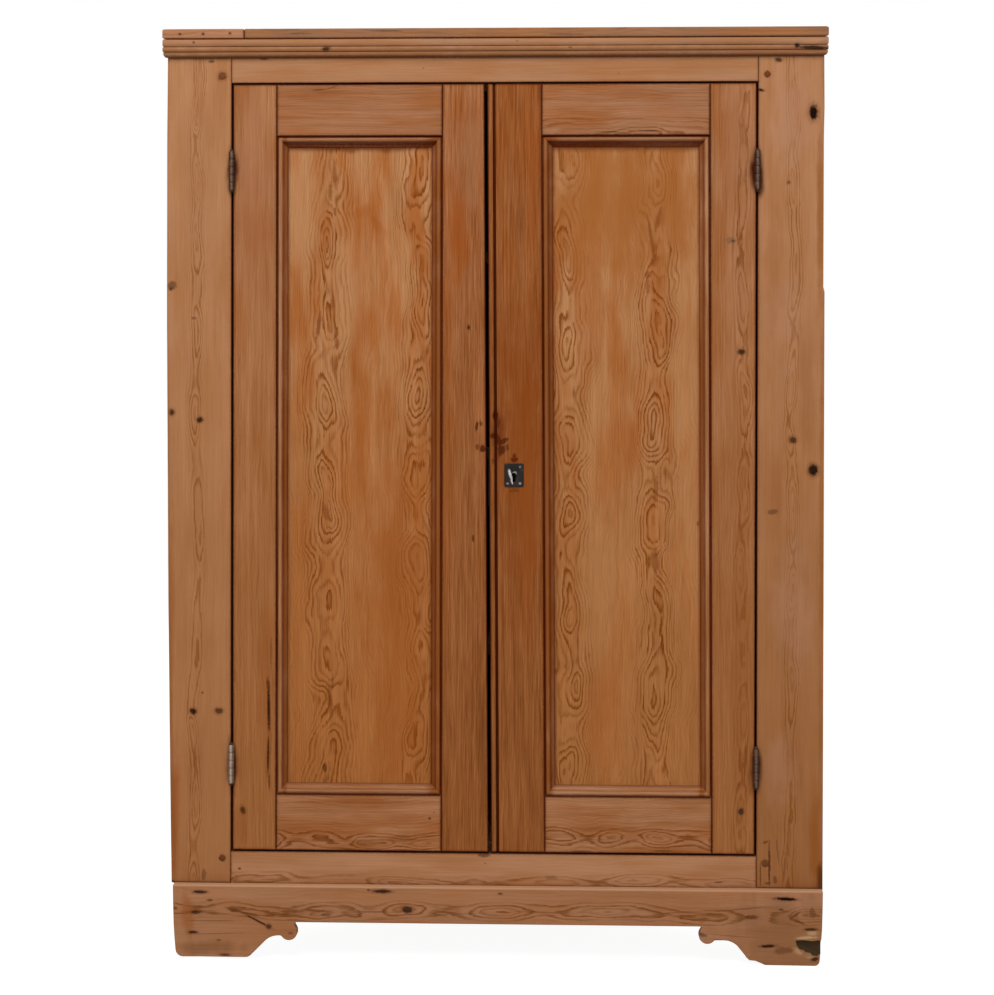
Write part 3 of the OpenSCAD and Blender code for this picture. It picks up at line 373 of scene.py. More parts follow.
# Dirt and painted shade across a moulding's profile, with a curve each for its uprights, its lower and its
# upper
# length: painted shadow under the upper length's nose, and less on the lower length, which faces the light
def mouldingDirtAndShade(wood, colour):
    paint = wood.paint
    looks = wood.looks
    z0, z1 = looks["recess"][2:]
    width = looks["width"]
    inward = paint.inside(wood.x, wood.z, looks["recess"], looks["leans"]) * (1 / width)
    dirtAndShade = paint.curve(inward, looks["sideDirtAndShade"])
    for key, height in (("ledgeDirtAndShade", wood.z - z0), ("upperDirtAndShade", z1 - wood.z)):
        share = (height * (1 / width) - inward).rise(0.0, 0.03, 1.0, 0.0)
        dirtAndShade = dirtAndShade + (paint.curve(inward, looks[key]) - dirtAndShade) * share
    dirtAndShade = dirtAndShade * (wood.clouds["streak"] * 0.8 + wood.ragged * 0.25 + 1.0)
    return paint.mix(colour, looks["grimeColour"], dirtAndShade)


# Painted shade that grows with the depth behind the face, in grooves, hollows and shelf edges
def deepShade(wood, colour):
    looks = wood.looks
    start, end, amount, stop = looks["depthGrime"]
    x0, x1 = looks["within"]
    deep = (wood.y + wood.ragged * 0.8).rise(start, end, 0.0, amount)
    deep = deep * wood.y.rise(stop, stop + 0.5, 1.0, 0.0)
    deep = deep * (wood.x - x0).least(x1 - wood.x).rise(0.0, 1.0)
    return wood.paint.mix(colour, looks["grimeColour"], deep)


# The dark line of a seam between two boards
def seamLine(wood, colour):
    line = abs(wood.v - wood.looks["seamAt"]).rise(0.4, 1.7, 0.75, 0.0)
    return wood.paint.mix(colour, wood.looks["grimeColour"], line)


# The pale upper arris: rubbed down to clean wood, with a painted highlight where its top catches the light
def rubbedArrisHighlight(wood, colour):
    start, end, worn, amount = wood.looks["arris"]
    return wood.paint.mix(colour, worn, (wood.z + wood.ragged * 0.7).rise(start, end, 0.0, amount))


# Darker paint inside the hollow of a broken corner
def brokenHollow(wood, colour):
    x0, z0, z1, front = wood.looks["hollow"]
    x, y, z = wood.x, wood.y, wood.z
    inside = (x + wood.ragged * 2).rise(x0, x0 + 1) * (z - z0).rise(0, 1) * (z1 - z).rise(0, 1)
    inside = inside * y.rise(front + 0.8, front + 2.2) * y.rise(front + 8.1, front + 8.5, 1.0, 0.0)
    return wood.paint.mix(colour, wood.looks["hollowColour"], inside)


# What a board gets over its wood when its looks have the key, in this order
coats = {
    "edges": edgeGrimeAndShade, "recess": mouldingDirtAndShade, "depthGrime": deepShade, "seamAt": seamLine,
    "arris": rubbedArrisHighlight, "hollow": brokenHollow,
}


# Waxed pine
def pine(name, values):
    wood = PineBoard(name, values)
    paint = wood.paint
    looks = wood.looks
    late = growthRings(wood)
    height = late * -0.5 + wood.clouds["fibre"] * 1.2
    colour, dark = handMarks(wood, woodColour(wood, late))
    if dark is not None:
        height = height - dark * 3
    for key, coat in coats.items():
        if key in looks:
            colour = coat(wood, colour)
    bump = paint.node("Bump", values={"Strength": looks["bump"], "Distance": 0.0004, "Height": height})
    roughness = late * -0.08 + wood.clouds["blotch"] * 0.2 + looks["roughness"]
    return paint.surface({"Base Color": colour, "Roughness": roughness, "Normal": bump,
                          "Specular IOR Level": looks["gloss"]})


ironGloss = 0.25


# Dark worn iron, with rust in places, bare metal where it is rubbed, and painted highlights: down the
# knuckles' fronts and round the keyhole
def iron(name, look):
    paint = Paint(bpy.data.materials.new(name))
    x, y, z = paint.place()
    patch = paint.cloud((x, y, z), (9, 9, 9), 3.0, look["seed"])
    grain = paint.cloud((x, y, z), (1.4, 1.4, 1.4), 3.0, look["seed"] + 5)
    colour = paint.mix(look["dark"], look["rust"], patch.rise(-0.02, 0.16) * look["rustShare"])
    colour = paint.mix(colour, look["bare"], (grain + patch * 0.5).rise(0.05, 0.25) * look["bareShare"])
    # the knuckle's front: rubbed metal with a painted highlight
    if "crest" in look:
        start, end, amount = look["crest"]
        colour = paint.mix(colour, look["bright"], (y + grain * 1.5).rise(start, end, amount, 0.0))
    # rubbed metal and painted highlights round the keyhole
    if "rubbedHighlights" in look:
        worn = paint.spots(x, z, grain * 1.2, look["rubbedHighlights"])
        colour = paint.mix(colour, look["bright"], worn)
    height = grain + patch * 0.6
    bump = paint.node("Bump", values={"Strength": 0.5, "Distance": 0.0003, "Height": height})
    values = {"Base Color": colour, "Metallic": look["metal"], "Roughness": grain * 0.4 + look["roughness"],
              "Normal": bump, "Specular IOR Level": ironGloss}
    return paint.surface(values)


# Mesh building

# A new piece at the origin whose mesh is in the shared frame
def addPiece(name, shape, material, body, replaced=(), smoothAngle=None):
    mesh = bpy.data.meshes.new(name)
    bmesh.ops.recalc_face_normals(shape, faces=shape.faces)
    shape.to_mesh(mesh)
    shape.free()
    if smoothAngle is not None:
        mesh.polygons.foreach_set("use_smooth", [True] * len(mesh.polygons))
        mesh.set_sharp_from_angle(angle=math.radians(smoothAngle))
    piece = bpy.data.objects.new(name, mesh)
    scene.collection.objects.link(piece)
    mesh.materials.append(material)
    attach(piece, body)
    if replaced:
        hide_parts(*replaced)
    return piece


# A piece of the cupboard itself with its own pine
def woodPiece(name, shape, look, replaced, smoothAngle=None):
    return addPiece(name, shape, pine(name, look), "cupboard", replaced, smoothAngle)


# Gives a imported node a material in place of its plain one
def repaint(node, material):
    nodes[node].data.materials.clear()
    nodes[node].data.materials.append(material)


# Rounds the edges where faces turn by more than the given angle
def roundEdges(shape, radius, segments=3, angle=28):
    limit = math.radians(angle)
    sharp = [e for e in shape.edges if len(e.link_faces) == 2 and e.calc_face_angle(0) > limit]
    bmesh.ops.bevel(shape, geom=sharp, offset=radius, offset_type="OFFSET", segments=segments, profile=0.5,
                    affect="EDGES", clamp_overlap=True)


# A skin over rings of points, closed at both ends
def loft(rings, radius, segments=3, angle=28, shape=None):
    own = bmesh.new() if shape is None else shape
    rows = [[own.verts.new(point) for point in ring] for ring in rings]
    count = len(rows[0])
    for first, second in zip(rows, rows[1:]):
        for i in range(count):
            j = (i + 1) % count
            own.faces.new((first[i], first[j], second[j], second[i]))
    own.faces.new(rows[0])
    own.faces.new(rows[-1])
    bmesh.ops.recalc_face_normals(own, faces=own.faces)
    if radius:
        roundEdges(own, radius, segments, angle)
    return own


# A flat outline pushed along one axis, with rounded edges
def slab(outline, axis, low, high, radius, segments=2, shape=None):
    def at(point, level):
        parts = list(point)
        parts.insert(axis, level)
        return Vector(parts)
    rings = [[at(point, low) for point in outline], [at(point, high) for point in outline]]
    return loft(rings, radius, segments, shape=shape)


# Even steps from start to end, near the given length
def steps(start, end, length):
    count = max(1, round(abs(end - start) / length))
    return [start + (end - start) * i / count for i in range(count + 1)]


# How far the wear takes an edge in at a place along it, from 0 to 1
def wearAt(place, seed):
    slow = noise.noise(Vector((place * 9.0, seed, 0.3)))
    fast = noise.noise(Vector((place * 47.0, seed, 5.1)))
    return max(0.0, min(1.0, 0.35 + slow * 0.9 + fast * 0.5))


# How far an edge that has moved and leans stands to the right at a height
def standing(line, z):
    moved, lean = line
    return (moved + lean * (lockHeight - z)) * mm


# A straight board from one corner to the other along axis 0, 1 or 2, with hand-worn arrises. Each end may
# have a tenon: (how far it reaches, its lowest corner and its highest corner across the board)
def board(low, high, axis, radius, wear, seed, tenons=(None, None), lines=((0, 0), (0, 0))):
    across = [i for i in range(3) if i != axis]
    a, b = across

    def section(at, inset=True, corners=None):
        la, lb, ha, hb = corners or (low[a], low[b], high[a], high[b])
        la += standing(lines[0], at)
        ha += standing(lines[1], at)
        ring = []
        turns = ((la, lb, 1, 1), (ha, lb, -1, 1), (ha, hb, -1, -1), (la, hb, 1, -1))
        for k, (pa, pb, sa, sb) in enumerate(turns):
            cut = wear * wearAt(at, seed + 3.7 * k) if inset else 0.0
            point = [0.0, 0.0, 0.0]
            point[axis] = at
            point[a] = pa + sa * cut
            point[b] = pb + sb * cut
            ring.append(Vector(point))
        return ring

    rings = [section(at) for at in steps(low[axis], high[axis], 0.03)]
    for end, tenon in enumerate(tenons):
        if tenon:
            reach, corners = tenon
            pair = [section(at, False, corners) for at in ((low, high)[end][axis], reach)]
            rings = pair[::-1] + rings if end == 0 else rings + pair
    return loft(rings, radius)


# Takes cutter shapes out of a piece
def carve(piece, cutters):
    made = []
    for cutter in cutters:
        mesh = bpy.data.meshes.new("cutter")
        bmesh.ops.recalc_face_normals(cutter, faces=cutter.faces)
        cutter.to_mesh(mesh)
        cutter.free()
        tool = bpy.data.objects.new("cutter", mesh)
        scene.collection.objects.link(tool)
        made.append(tool)
        modifier = piece.modifiers.new("cut", "BOOLEAN")
        modifier.operation = "DIFFERENCE"
        modifier.solver = "EXACT"
        modifier.object = tool
    bpy.context.view_layer.update()
    graph = bpy.context.evaluated_depsgraph_get()
    carved = bpy.data.meshes.new_from_object(piece.evaluated_get(graph))
    piece.modifiers.clear()
    old = piece.data
    piece.data = carved
    carved.name = old.name
    bpy.data.meshes.remove(old)
    for tool in made:
        mesh = tool.data
        bpy.data.objects.remove(tool)
        bpy.data.meshes.remove(mesh)
    return piece


def boxShape(low, high):
    outline = [(low[0], low[1]), (high[0], low[1]), (high[0], high[1]), (low[0], high[1])]
    return slab(outline, 2, low[2], high[2], 0)


# Points of an arc whose angles are in degrees
def arc(centre, radius, start, end, count):
    turns = [math.radians(start + (end - start) * i / count) for i in range(count + 1)]
    return [(centre[0] + radius * math.cos(t), centre[1] + radius * math.sin(t)) for t in turns]


# Colours of the pine
framePine = {
    "early": tint(175, 124, 86), "late": tint(124, 68, 8), "warm": tint(164, 106, 62), "warmth": 0.55,
    "contrast": 0.75, "crinkle": 4.0, "fibre": 0.14, "blotch": 0.14, "roughness": 0.56, "plain": 0.14,
    "line": 0.8, "grime": 0.30, "grimeReach": 5.0,
}
doorPine = {
    "early": tint(166, 113, 75), "late": tint(110, 52, 0), "warm": tint(150, 88, 43), "warmth": 0.75,
    "foot": tint(158, 101, 57), "contrast": 0.75, "blotch": 0.13, "roughness": 0.52, "plain": 0.30,
    "line": 0.9, "lineFull": 0.9, "lineGone": 2.8, "grime": 0.40, "grimeReach": 6.0,
    "grimeColour": tint(72, 22, 2), "spotColour": tint(44, 18, 6), "fibre": 0.30, "streak": 0.22,
}
panelPine = {
    "early": tint(179, 126, 83), "late": tint(118, 56, 0), "warm": tint(164, 95, 45), "warmth": 0.9,
    "foot": tint(166, 104, 56), "contrast": 0.98, "faint": 0.2, "blotch": 0.15, "roughness": 0.50,
    "plain": 0.26, "line": 0.7, "lineFull": 0.3, "lineGone": 1.6, "grime": 0.5, "grimeReach": 6.0,
    "grimeColour": tint(84, 34, 8), "figureReach": 46.0, "fibre": 0.32, "streak": 0.15, "wiggle": 44.0,
    "swell": 36.0, "crinkle": 4.8, "grimeAndShadeDepth": 1.0,
}
deepPine = {
    **doorPine, "early": tint(152, 92, 50), "late": tint(96, 38, 0), "warm": tint(142, 77, 32),
    "foot": tint(143, 86, 44), "fibre": 0.66, "streak": 0.36,
}
innerPine = {
    "early": tint(184, 140, 98), "late": tint(138, 86, 36), "warm": tint(168, 118, 76), "warmth": 0.6,
    "contrast": 0.6, "blotch": 0.14, "roughness": 0.72, "plain": 0.35, "line": 0.5, "grime": 0.25,
    "grimeReach": 7.0,
}


# A slow zigzag of heart depths where no figure is listed
def zigzag(low, high, step, shallow, deep, seed):
    points = []
    for i, at in enumerate(steps(low, high, step)):
        lift = 0.5 + 0.5 * noise.noise(Vector((i * 1.7, seed, 2.2)))
        points.append((at, (shallow if i % 2 else deep) * (0.7 + 0.6 * lift)))
    return points


# The visible face of a node's board, in millimetres
def faceEdges(low, high):
    return [low[0] / mm, high[0] / mm, low[2] / mm, high[2] / mm]


# Frame stiles. In every board, heart says where its heart line runs across it, and depths how far behind the
# face the line lies at places along it: where it comes near, the rings open into a figure

# The wood is darker round the hinges
hingeDarkening = (tint(70, 26, 4), [(side * hingeX, z, 11, 44, 1.0) for side in (-1, 1) for z in hingeHeights])
bevelStep = (1.138, 1.146)  # the heights between which the right stile's bevel changes
edgeAway = 30  # a board's edge that is put so far outside it leaves no dark line

# The points of bevelDepth and bevelWidth have their height in metres
stiles = {
    "leftFrameStile": {
        "node": "left_stile", "side": -1, "radius": 1.1 * mm,
        "bevelDepth": [
            (0.015, 10), (0.13, 9.5), (0.27, 7.8), (0.61, 4.6), (1.1, 2.2), (1.4, 2.4), (1.57, 3.6),
        ],
        "bevelWidth": [(0.015, 20), (0.13, 21), (0.27, 17), (0.61, 9), (1.1, 6), (1.57, 8)], "seed": 1.0,
        "foot": tint(164, 110, 69), "heart": -507,
        "depths": [
            (1568, 7), (1500, 9), (1431, 4), (1400, 12), (1312, 5), (1280, 13), (1209, 6), (1150, 14),
            (1072, 6), (1000, 15), (930, 9), (850, 16), (760, 10), (640, 17), (520, 10), (420, 15),
            (395, 8), (330, 13), (268, 6), (190, 11), (120, 6), (15, 12),
        ],
        "spots": [
            (-550, 1149, 9, 8, 0.55), (-552, 1143, 4, 3, 0.7), (-512, 1093, 5, 3, 0.45),
            (-550, 932, 5, 6, 0.8), (-502, 919, 6, 5, 0.85), (-513, 420, 6.5, 6, 0.9),
            (-469, 421, 8, 5.5, 0.7), (-497, 452, 1.6, 1.6, 0.7), (-464, 1506, 8, 7.5, 0.7),
            (-482, 1531, 6, 3, 0.6), (-462, 169, 7, 7, 0.5), (-494, 140, 5, 12, 0.4),
        ],
        "stains": [
            hingeDarkening, (tint(150, 82, 34), [(-548, 230, 12, 150, 0.75), (-552, 560, 6, 260, 0.5)]),
            (tint(160, 112, 78), [(-505, 1360, 34, 150, 0.35)]),
        ],
    },
    "rightFrameStile": {
        "node": "right_stile", "side": 1, "radius": 1.1 * mm,
        "bevelDepth": [
            (0.015, 1), (0.13, 1.2), (0.4, 0.9), (1.138, 0.8), (1.146, 2.6), (1.41, 2.4), (1.44, 1.5),
            (1.57, 2.4),
        ],
        "bevelWidth": [
            (0.015, 24), (0.15, 22), (0.3, 12), (0.5, 6), (1.138, 5), (1.146, 15), (1.38, 14), (1.44, 6),
            (1.57, 6),
        ],
        "seed": 2.0, "foot": tint(154, 101, 60), "heart": 506,
        "depths": [
            (1568, 9), (1520, 12), (1440, 6), (1380, 12), (1323, 6), (1240, 14), (1150, 8), (1060, 15),
            (960, 6), (920, 12), (887, 7), (845, 13), (752, 5), (690, 12), (640, 6), (560, 13), (430, 8),
            (300, 14), (190, 7), (110, 12), (15, 8),
        ],
        "spots": [
            (541, 1441, 8, 14, 1.0), (542, 836, 9, 11, 0.95), (500, 1323, 4, 4, 0.5),
            (508, 887, 7, 6, 0.75), (474, 765, 10, 5, 0.45, 8), (452, 1479, 6, 2.4, 0.9, -12),
            (482, 1530, 7, 4, 0.75), (468, 135, 6, 3, 0.5), (463, 169, 7.5, 7.5, 0.6),
            (463, 1506, 7, 7, 0.55),
        ],
        "marks": [(tint(98, 54, 26), [
            (470, 168, 2.4, 42, 0.9), (464, 205, 6, 2.5, 0.7, 20), (480, 140, 4, 8, 0.6, 10),
            (455, 150, 1.8, 24, 0.7), (496, 165, 2, 30, 0.5, -4), (484, 190, 2, 26, 0.4, 6),
        ])],
        "stains": [
            (tint(146, 84, 36), [
                (553, 1276, 8, 140, 0.6), (547, 190, 12, 110, 0.85), (556, 700, 4, 420, 0.5),
            ]),
            (tint(180, 132, 104), [
                (505, 1440, 36, 110, 0.5), (492, 1090, 36, 90, 0.3), (508, 600, 34, 110, 0.35),
                (486, 330, 30, 70, 0.3),
            ]),
            (tint(146, 88, 46), [
                (476, 1200, 18, 100, 0.35), (530, 960, 16, 120, 0.3), (478, 800, 16, 70, 0.3),
            ]),
            (tint(76, 36, 8), [(557, 142, 9, 26, 0.8)]), hingeDarkening,
        ],
    },
}


# The value at a place on a line through (place, value) points
def between(points, at):
    for (a0, v0), (a1, v1) in zip(points, points[1:]):
        if at <= a1:
            return v0 + (v1 - v0) * max(0.0, at - a0) / (a1 - a0)
    return points[-1][1]


# A stile whose outer arris is bevelled unevenly by hand, and cut back where the plinth covers it
def frameStile(name, values):
    low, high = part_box(values["node"])
    side = values["side"]
    openX = high.x if side < 0 else low.x
    reach = max(-low.x, high.x) + 3 * mm  # where the wall's plane meets the frame's face
    backY = high.y
    top = plinthTop * mm
    plinthEnd = abs(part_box("plinth_board")[0 if side < 0 else 1].x)
    heights = sorted(steps(low.z, high.z, 0.03) + [top - 3.4 * mm, top - 2.6 * mm, *bevelStep])
    rings = []
    for z in heights:
        jitter = 1 + 0.25 * noise.noise(Vector((z * 23, values["seed"], 0)))
        wide = between(values["bevelWidth"], z) * mm * jitter
        deep = between(values["bevelDepth"], z) * mm * (0.9 + 0.1 * jitter)
        outer = [(reach - wide, faceY), (reach - deep, faceY + deep)]
        if z < top - 3 * mm:
            outer = [(min(point[0], plinthEnd - 0.4 * mm), point[1]) for point in outer]
        inner = wearAt(z, values["seed"]) * 0.5 * mm
        behind = [(reach - (backY - faceY), backY), (abs(openX), backY)]
        outline = [(abs(openX), faceY + inner), *outer, *behind]
        rings.append([Vector((side * px, py, z)) for px, py in outline])
    shape = loft(rings, values["radius"])
    across = [low.x / mm - edgeAway, openX / mm] if side < 0 else [openX / mm, high.x / mm + edgeAway]
    look = {**framePine, **values, "grain": "z", "span": (15, 1568), "figureReach": 18.0, "squash": 1.5,
            "edges": [*across, plinthTop, corniceFoot]}
    woodPiece(name, shape, look, [values["node"]])


for pieceName, pieceValues in stiles.items():
    frameStile(pieceName, pieceValues)
print("frame stiles made")


# Frame rails

railThick = 28.0
rails = {
    "topFrameRail": {
        "node": "top_rail", "seed": 3.0, "heart": 1590, "clip": [-448, 448, 1494, 1537],
        "early": tint(168, 120, 86), "depths": [(-448, 20), (-200, 26), (60, 18), (300, 24), (448, 20)],
        "spots": [(-392, 1535, 8, 3, 0.5), (-120, 1518, 1.5, 1.5, 0.5), (212, 1508, 1.2, 1.2, 0.5)],
    },
    "bottomFrameRail": {
        "node": "bottom_rail", "seed": 4.0, "heart": 132, "clip": [-448, 448, 126, 181],
        "early": tint(178, 128, 92),
        "depths": [
            (-448, 12), (-380, 6), (-300, 13), (-200, 9), (-110, 5), (-40, 12), (60, 7), (110, 4),
            (180, 12), (260, 6), (330, 13), (400, 7), (448, 10),
        ],
        "spots": [
            (-433, 151, 2.5, 1.6, 0.7), (-14, 178, 12, 4, 0.6), (100, 141, 12, 4, 0.3),
            (385, 136, 9, 2, 0.5), (-12, 164, 1.5, 1.2, 0.6),
        ],
    },
}


def frameRail(name, values):
    low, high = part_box(values["node"])
    x0, x1 = values["clip"][:2]
    low = Vector((x0 * mm, low.y, low.z))
    high = Vector((x1 * mm, low.y + railThick * mm, high.z))
    shape = board(low, high, 0, 0.9 * mm, 0.4 * mm, values["seed"])
    look = {**framePine, **values, "grain": "x", "span": (x0, x1), "edges": values["clip"],
            "figureReach": 16.0}
    woodPiece(name, shape, look, [values["node"]])


for pieceName, pieceValues in rails.items():
    frameRail(pieceName, pieceValues)
print("frame rails made")


# Pegs through the frame's joints, whittled nearly square

pegs = {
    "half": 6.2, "proud": 0.6, "turns": [8, -14, 21, -6], "seed": 5.0, "heart": 0,
    "depths": [(-500, 30), (500, 30)], "early": tint(112, 66, 36), "late": tint(72, 36, 16),
    "warm": tint(92, 48, 22), "slot": "peg_wood",
}


def framePegs():
    low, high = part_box("frame_pegs")
    shape = bmesh.new()
    inset = 3.4 * mm
    places = [(x, z) for x in (low.x + inset, high.x - inset) for z in (low.z + inset, high.z - inset)]
    for (x, z), turn in zip(places, pegs["turns"]):
        half = pegs["half"] * mm
        starts = [turn + 90 * k - 9 for k in range(4)]
        corners = [point for start in starts for point in arc((0, 0), half, start, start + 18, 1)]
        rings = []
        for y, size in ((faceY + 9 * mm, 0.9), (faceY - 0.1 * mm, 0.97), (faceY - pegs["proud"] * mm, 0.84)):
            rings.append([Vector((x + cx * size, y, z + cz * size)) for cx, cz in corners])
        loft(rings, 0, shape=shape)
    look = {**framePine, **pegs, "grain": "x", "span": (-500, 500)}
    woodPiece("framePegs", shape, look, ["frame_pegs"], 40)


framePegs()


# Plinth board with its bracket feet

plinth = {
    "seed": 6.0, "middle": 7.0, "halfLength": 550.5, "under": 64.5, "toeRadius": 14.0,
    "coveRadius": 32.0, "coveTop": 41.5, "lobeRadius": 14.4, "round": 2.0,
    "feet": {
        "left": {
            "bottom": 4.0, "lean": 3.4, "corner": 13.0, "coveX": 179.5, "lobe": (197.5, 48.0), "chip": [],
        },
        "right": {
            "bottom": 0.0, "lean": 4.0, "corner": 9.0, "coveX": 165.0, "lobe": (193.0, 49.5),
            "chip": [(96, 0.6), (101, 3), (112, 7.4), (123, 8.6)],
        },
    },
    "brokenOutline": [
        (513, 43.5), (514, 34), (518, 30), (521, 28), (526, 27), (530, 23.5), (537, 22), (541, 18),
        (549, 17), (551, 19), (562, 18.5), (562, 43.5), (549, 44.5), (540, 42.5), (525, 44),
    ],
    "brokenDepth": 8.0, "early": tint(167, 117, 83), "late": tint(110, 62, 20), "contrast": 0.9,
    # the pale top arris is worn wood with a painted highlight
    "figureReach": 20.0, "blotch": 0.16, "arris": [123.0, 125.6, tint(196, 150, 116), 0.75], "heart": 84,
    "depths": [
        (-545, 15), (-480, 18), (-420, 13), (-340, 14), (-282, 5), (-240, 7), (-200, 13), (-144, 6),
        (-90, 14), (-40, 11), (14, 7), (70, 15), (120, 11), (183, 6), (250, 8), (310, 15), (380, 12),
        (440, 16), (500, 12), (530, 5), (560, 10),
    ],
    "spots": [
        (-498, 115, 13, 3, 0.85), (-481, 101, 6, 2.5, 0.6), (-505, 80, 9, 3, 0.75),
        (-510, 46, 9, 2.5, 0.85), (-465, 33, 5, 2, 0.5), (-398, 66, 27, 1.7, 0.8, -27),
        (-282, 78, 10, 3, 0.45), (-144, 88, 10, 6, 0.8, -10), (-187, 119, 17, 3.4, 0.85),
        (-210, 121, 3, 2, 0.6), (14, 117, 5, 2.5, 0.6), (496, 113, 20, 3, 1.0, -2), (488, 95, 5, 2, 0.6),
        (539, 62, 12, 2.4, 0.8), (466, 33, 15, 2.6, 0.9, 3), (545, 12, 7, 4, 0.8, 20),
        (-455, 8, 10, 2, 0.7), (385, 40, 8, 2.4, 0.8, -10), (352, 52, 14, 4, 0.55, -14),
        (340, 58, 10, 3, 0.6), (-343, 46, 5, 3, 0.4), (-380, 57, 5, 5, 0.7),
    ],
    "stains": [
        (tint(150, 84, 40), [(-519, 76, 11, 42, 0.6, 4)]),
        (tint(184, 144, 102), [
            (530, 49, 24, 4.5, 0.8, 3), (541, 57, 13, 6, 0.7), (516, 23, 14, 5, 0.5, -30),
            (540, 18, 18, 5, 0.4),
        ]),
        (tint(116, 78, 48), [(-490, 20, 60, 14, 0.5), (490, 40, 110, 80, 0.4)]),
    ],
    "marks": [
        (tint(192, 154, 112), [
            (531, 48, 19, 2.6, 0.75, 3), (541, 56, 9, 4.5, 0.6), (517, 25, 10, 4, 0.5, -34),
            (541, 15, 12, 2.5, 0.4),
        ]),
        (tint(104, 60, 32), [
            (511, 85, 12, 2.4, 0.8, 38), (518, 75, 15, 2.4, 0.8, -24), (541, 90, 6, 10, 0.6, 12),
            (492, 26, 20, 7, 0.6, 6), (439, 82, 13, 4, 0.9), (-440, 85, 14, 3, 0.8, -8),
            (-415, 78, 22, 2, 0.6, -14), (-345, 84, 20, 2.4, 0.7, 4), (-300, 85, 26, 2.6, 0.7, -5),
            (-205, 84, 34, 2, 0.5), (420, 95, 60, 1.4, 0.5, 6), (330, 88, 50, 1.4, 0.4),
            (400, 50, 40, 1.3, 0.4, -4), (240, 80, 46, 1.6, 0.5, 3), (90, 86, 60, 1.6, 0.45, -2),
            (-60, 82, 50, 1.5, 0.4, 2), (-478, 66, 50, 1.2, 0.5), (-470, 44, 60, 1.2, 0.5, 2),
        ]),
    ],
}


# One foot from the board's end to the middle of its underside, measured from the end
def footOutline(foot):
    s = math.sin(math.radians(45))
    bottom = foot["bottom"]
    lean = foot["lean"]
    corner = foot["corner"]
    coveX = foot["coveX"]
    coveZ = plinth["coveTop"] - plinth["coveRadius"]
    startX = coveX - plinth["coveRadius"] * s
    startZ = coveZ + plinth["coveRadius"] * s
    toeRadius = plinth["toeRadius"]
    toeX = startX - toeRadius * s - (startZ - bottom - (toeRadius - toeRadius * s))
    lobe = foot["lobe"]
    lobeStart = 180 + math.degrees(math.asin((lobe[1] - plinth["coveTop"]) / plinth["lobeRadius"]))
    points = [(-1.2, plinthTop), (-0.6, 90), (0.2, 60), (lean * 0.5, 36)]
    points += arc((lean + corner, bottom + corner), corner, 180, 270, 6)
    points += [(45, bottom + 0.3)]
    if foot["chip"]:
        points += foot["chip"]
    else:
        points += [(90, bottom)]
        points += arc((toeX, bottom + toeRadius), toeRadius, 270, 315, 5)
    points += arc((coveX, coveZ), plinth["coveRadius"], 135, 90, 8)
    points += arc(lobe, plinth["lobeRadius"], lobeStart, 405, 24)
    return points + [(lobe[0] + plinth["lobeRadius"] * s, plinth["under"])]


def plinthOutline():
    half = plinth["halfLength"]
    left = [(x - half, z) for x, z in footOutline(plinth["feet"]["left"])]
    right = [(half - x, z) for x, z in reversed(footOutline(plinth["feet"]["right"]))]
    return [((x + plinth["middle"]) * mm, z * mm) for x, z in left + right]


# The rough hole of a broken corner, as rings of points from the face inwards
def brokenCorner(face):
    middle, end = 31, 562
    rings = []
    for y, grow in ((face - 2 * mm, 1.0), (face + 4 * mm, 1.0), (face + plinth["brokenDepth"] * mm, 0.72)):
        ring = []
        for px, pz in plinth["brokenOutline"]:
            push = noise.noise(Vector((px * 0.3, pz * 0.3, y * 400)))
            x = end if px >= end else end - (end - px) * grow + push
            ring.append(Vector((x * mm, y, (middle + (pz - middle) * grow + push) * mm)))
        rings.append(ring)
    return rings


def plinthBoard():
    low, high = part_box("plinth_board")
    shape = slab(plinthOutline(), 1, low.y, high.y, plinth["round"] * mm, 3)
    look = {**framePine, **plinth, "grain": "x", "span": (-545, 560), "faceDepth": low.y / mm,
            "hollow": [510, 16, 45, low.y / mm]}
    piece = woodPiece("plinthBoard", shape, look, ["plinth_board"])
    carve(piece, [loft(brokenCorner(low.y), 0)])


plinthBoard()
print("plinth made")


# Cornice moulding and the strips along the top's front edge

cornice = {
    "seed": 7.0, "upperReed": 11.6, "middleReed": 7.8, "ovolo": 8.0, "ovoloBack": 5.0, "gap": 1.2,
    "groove": 3.6, "crown": 1.9, "out": 10.0, "brokenFrom": 508.0, "brokenBack": 2.6,
    "early": tint(166, 120, 88), "grimeColour": tint(84, 44, 22),
    # the cornice's grooves and the foot of its ovolo are painted darker as shade
    "depthGrime": [faceY / mm - 8.0, faceY / mm - 5.6, 0.75, 0.0], "blotch": 0.16, "bump": 0.4,
    "heart": 1610, "depths": [(-566, 20), (-100, 30), (300, 18), (566, 26)],
    "spots": [
        (-511, 1562, 2, 1.5, 0.8), (-285, 1550, 7, 4, 0.8, 10), (130, 1551, 4, 2, 0.5),
        (540, 1549, 26, 3.6, 0.85, -2), (512, 1552, 5, 4, 0.9, 20), (40, 1562, 2, 1.5, 0.4),
    ],
    "stains": [
        (tint(146, 97, 62), [(0, 1546, 2000, 9, 0.8)]),
        (tint(186, 140, 98), [(538, 1559, 24, 4, 0.5), (535, 1540, 22, 2.5, 0.4)]),
    ],
}


# A reed's shallow arc between two heights
def crowned(out, z0, z1, crown, count=8):
    h = z1 - z0
    radius = (h * h / 4 + crown * crown) / (2 * crown)
    turn = math.degrees(math.asin(h / 2 / radius))
    return arc((out + crown - radius, (z0 + z1) / 2), radius, -turn, turn, count)


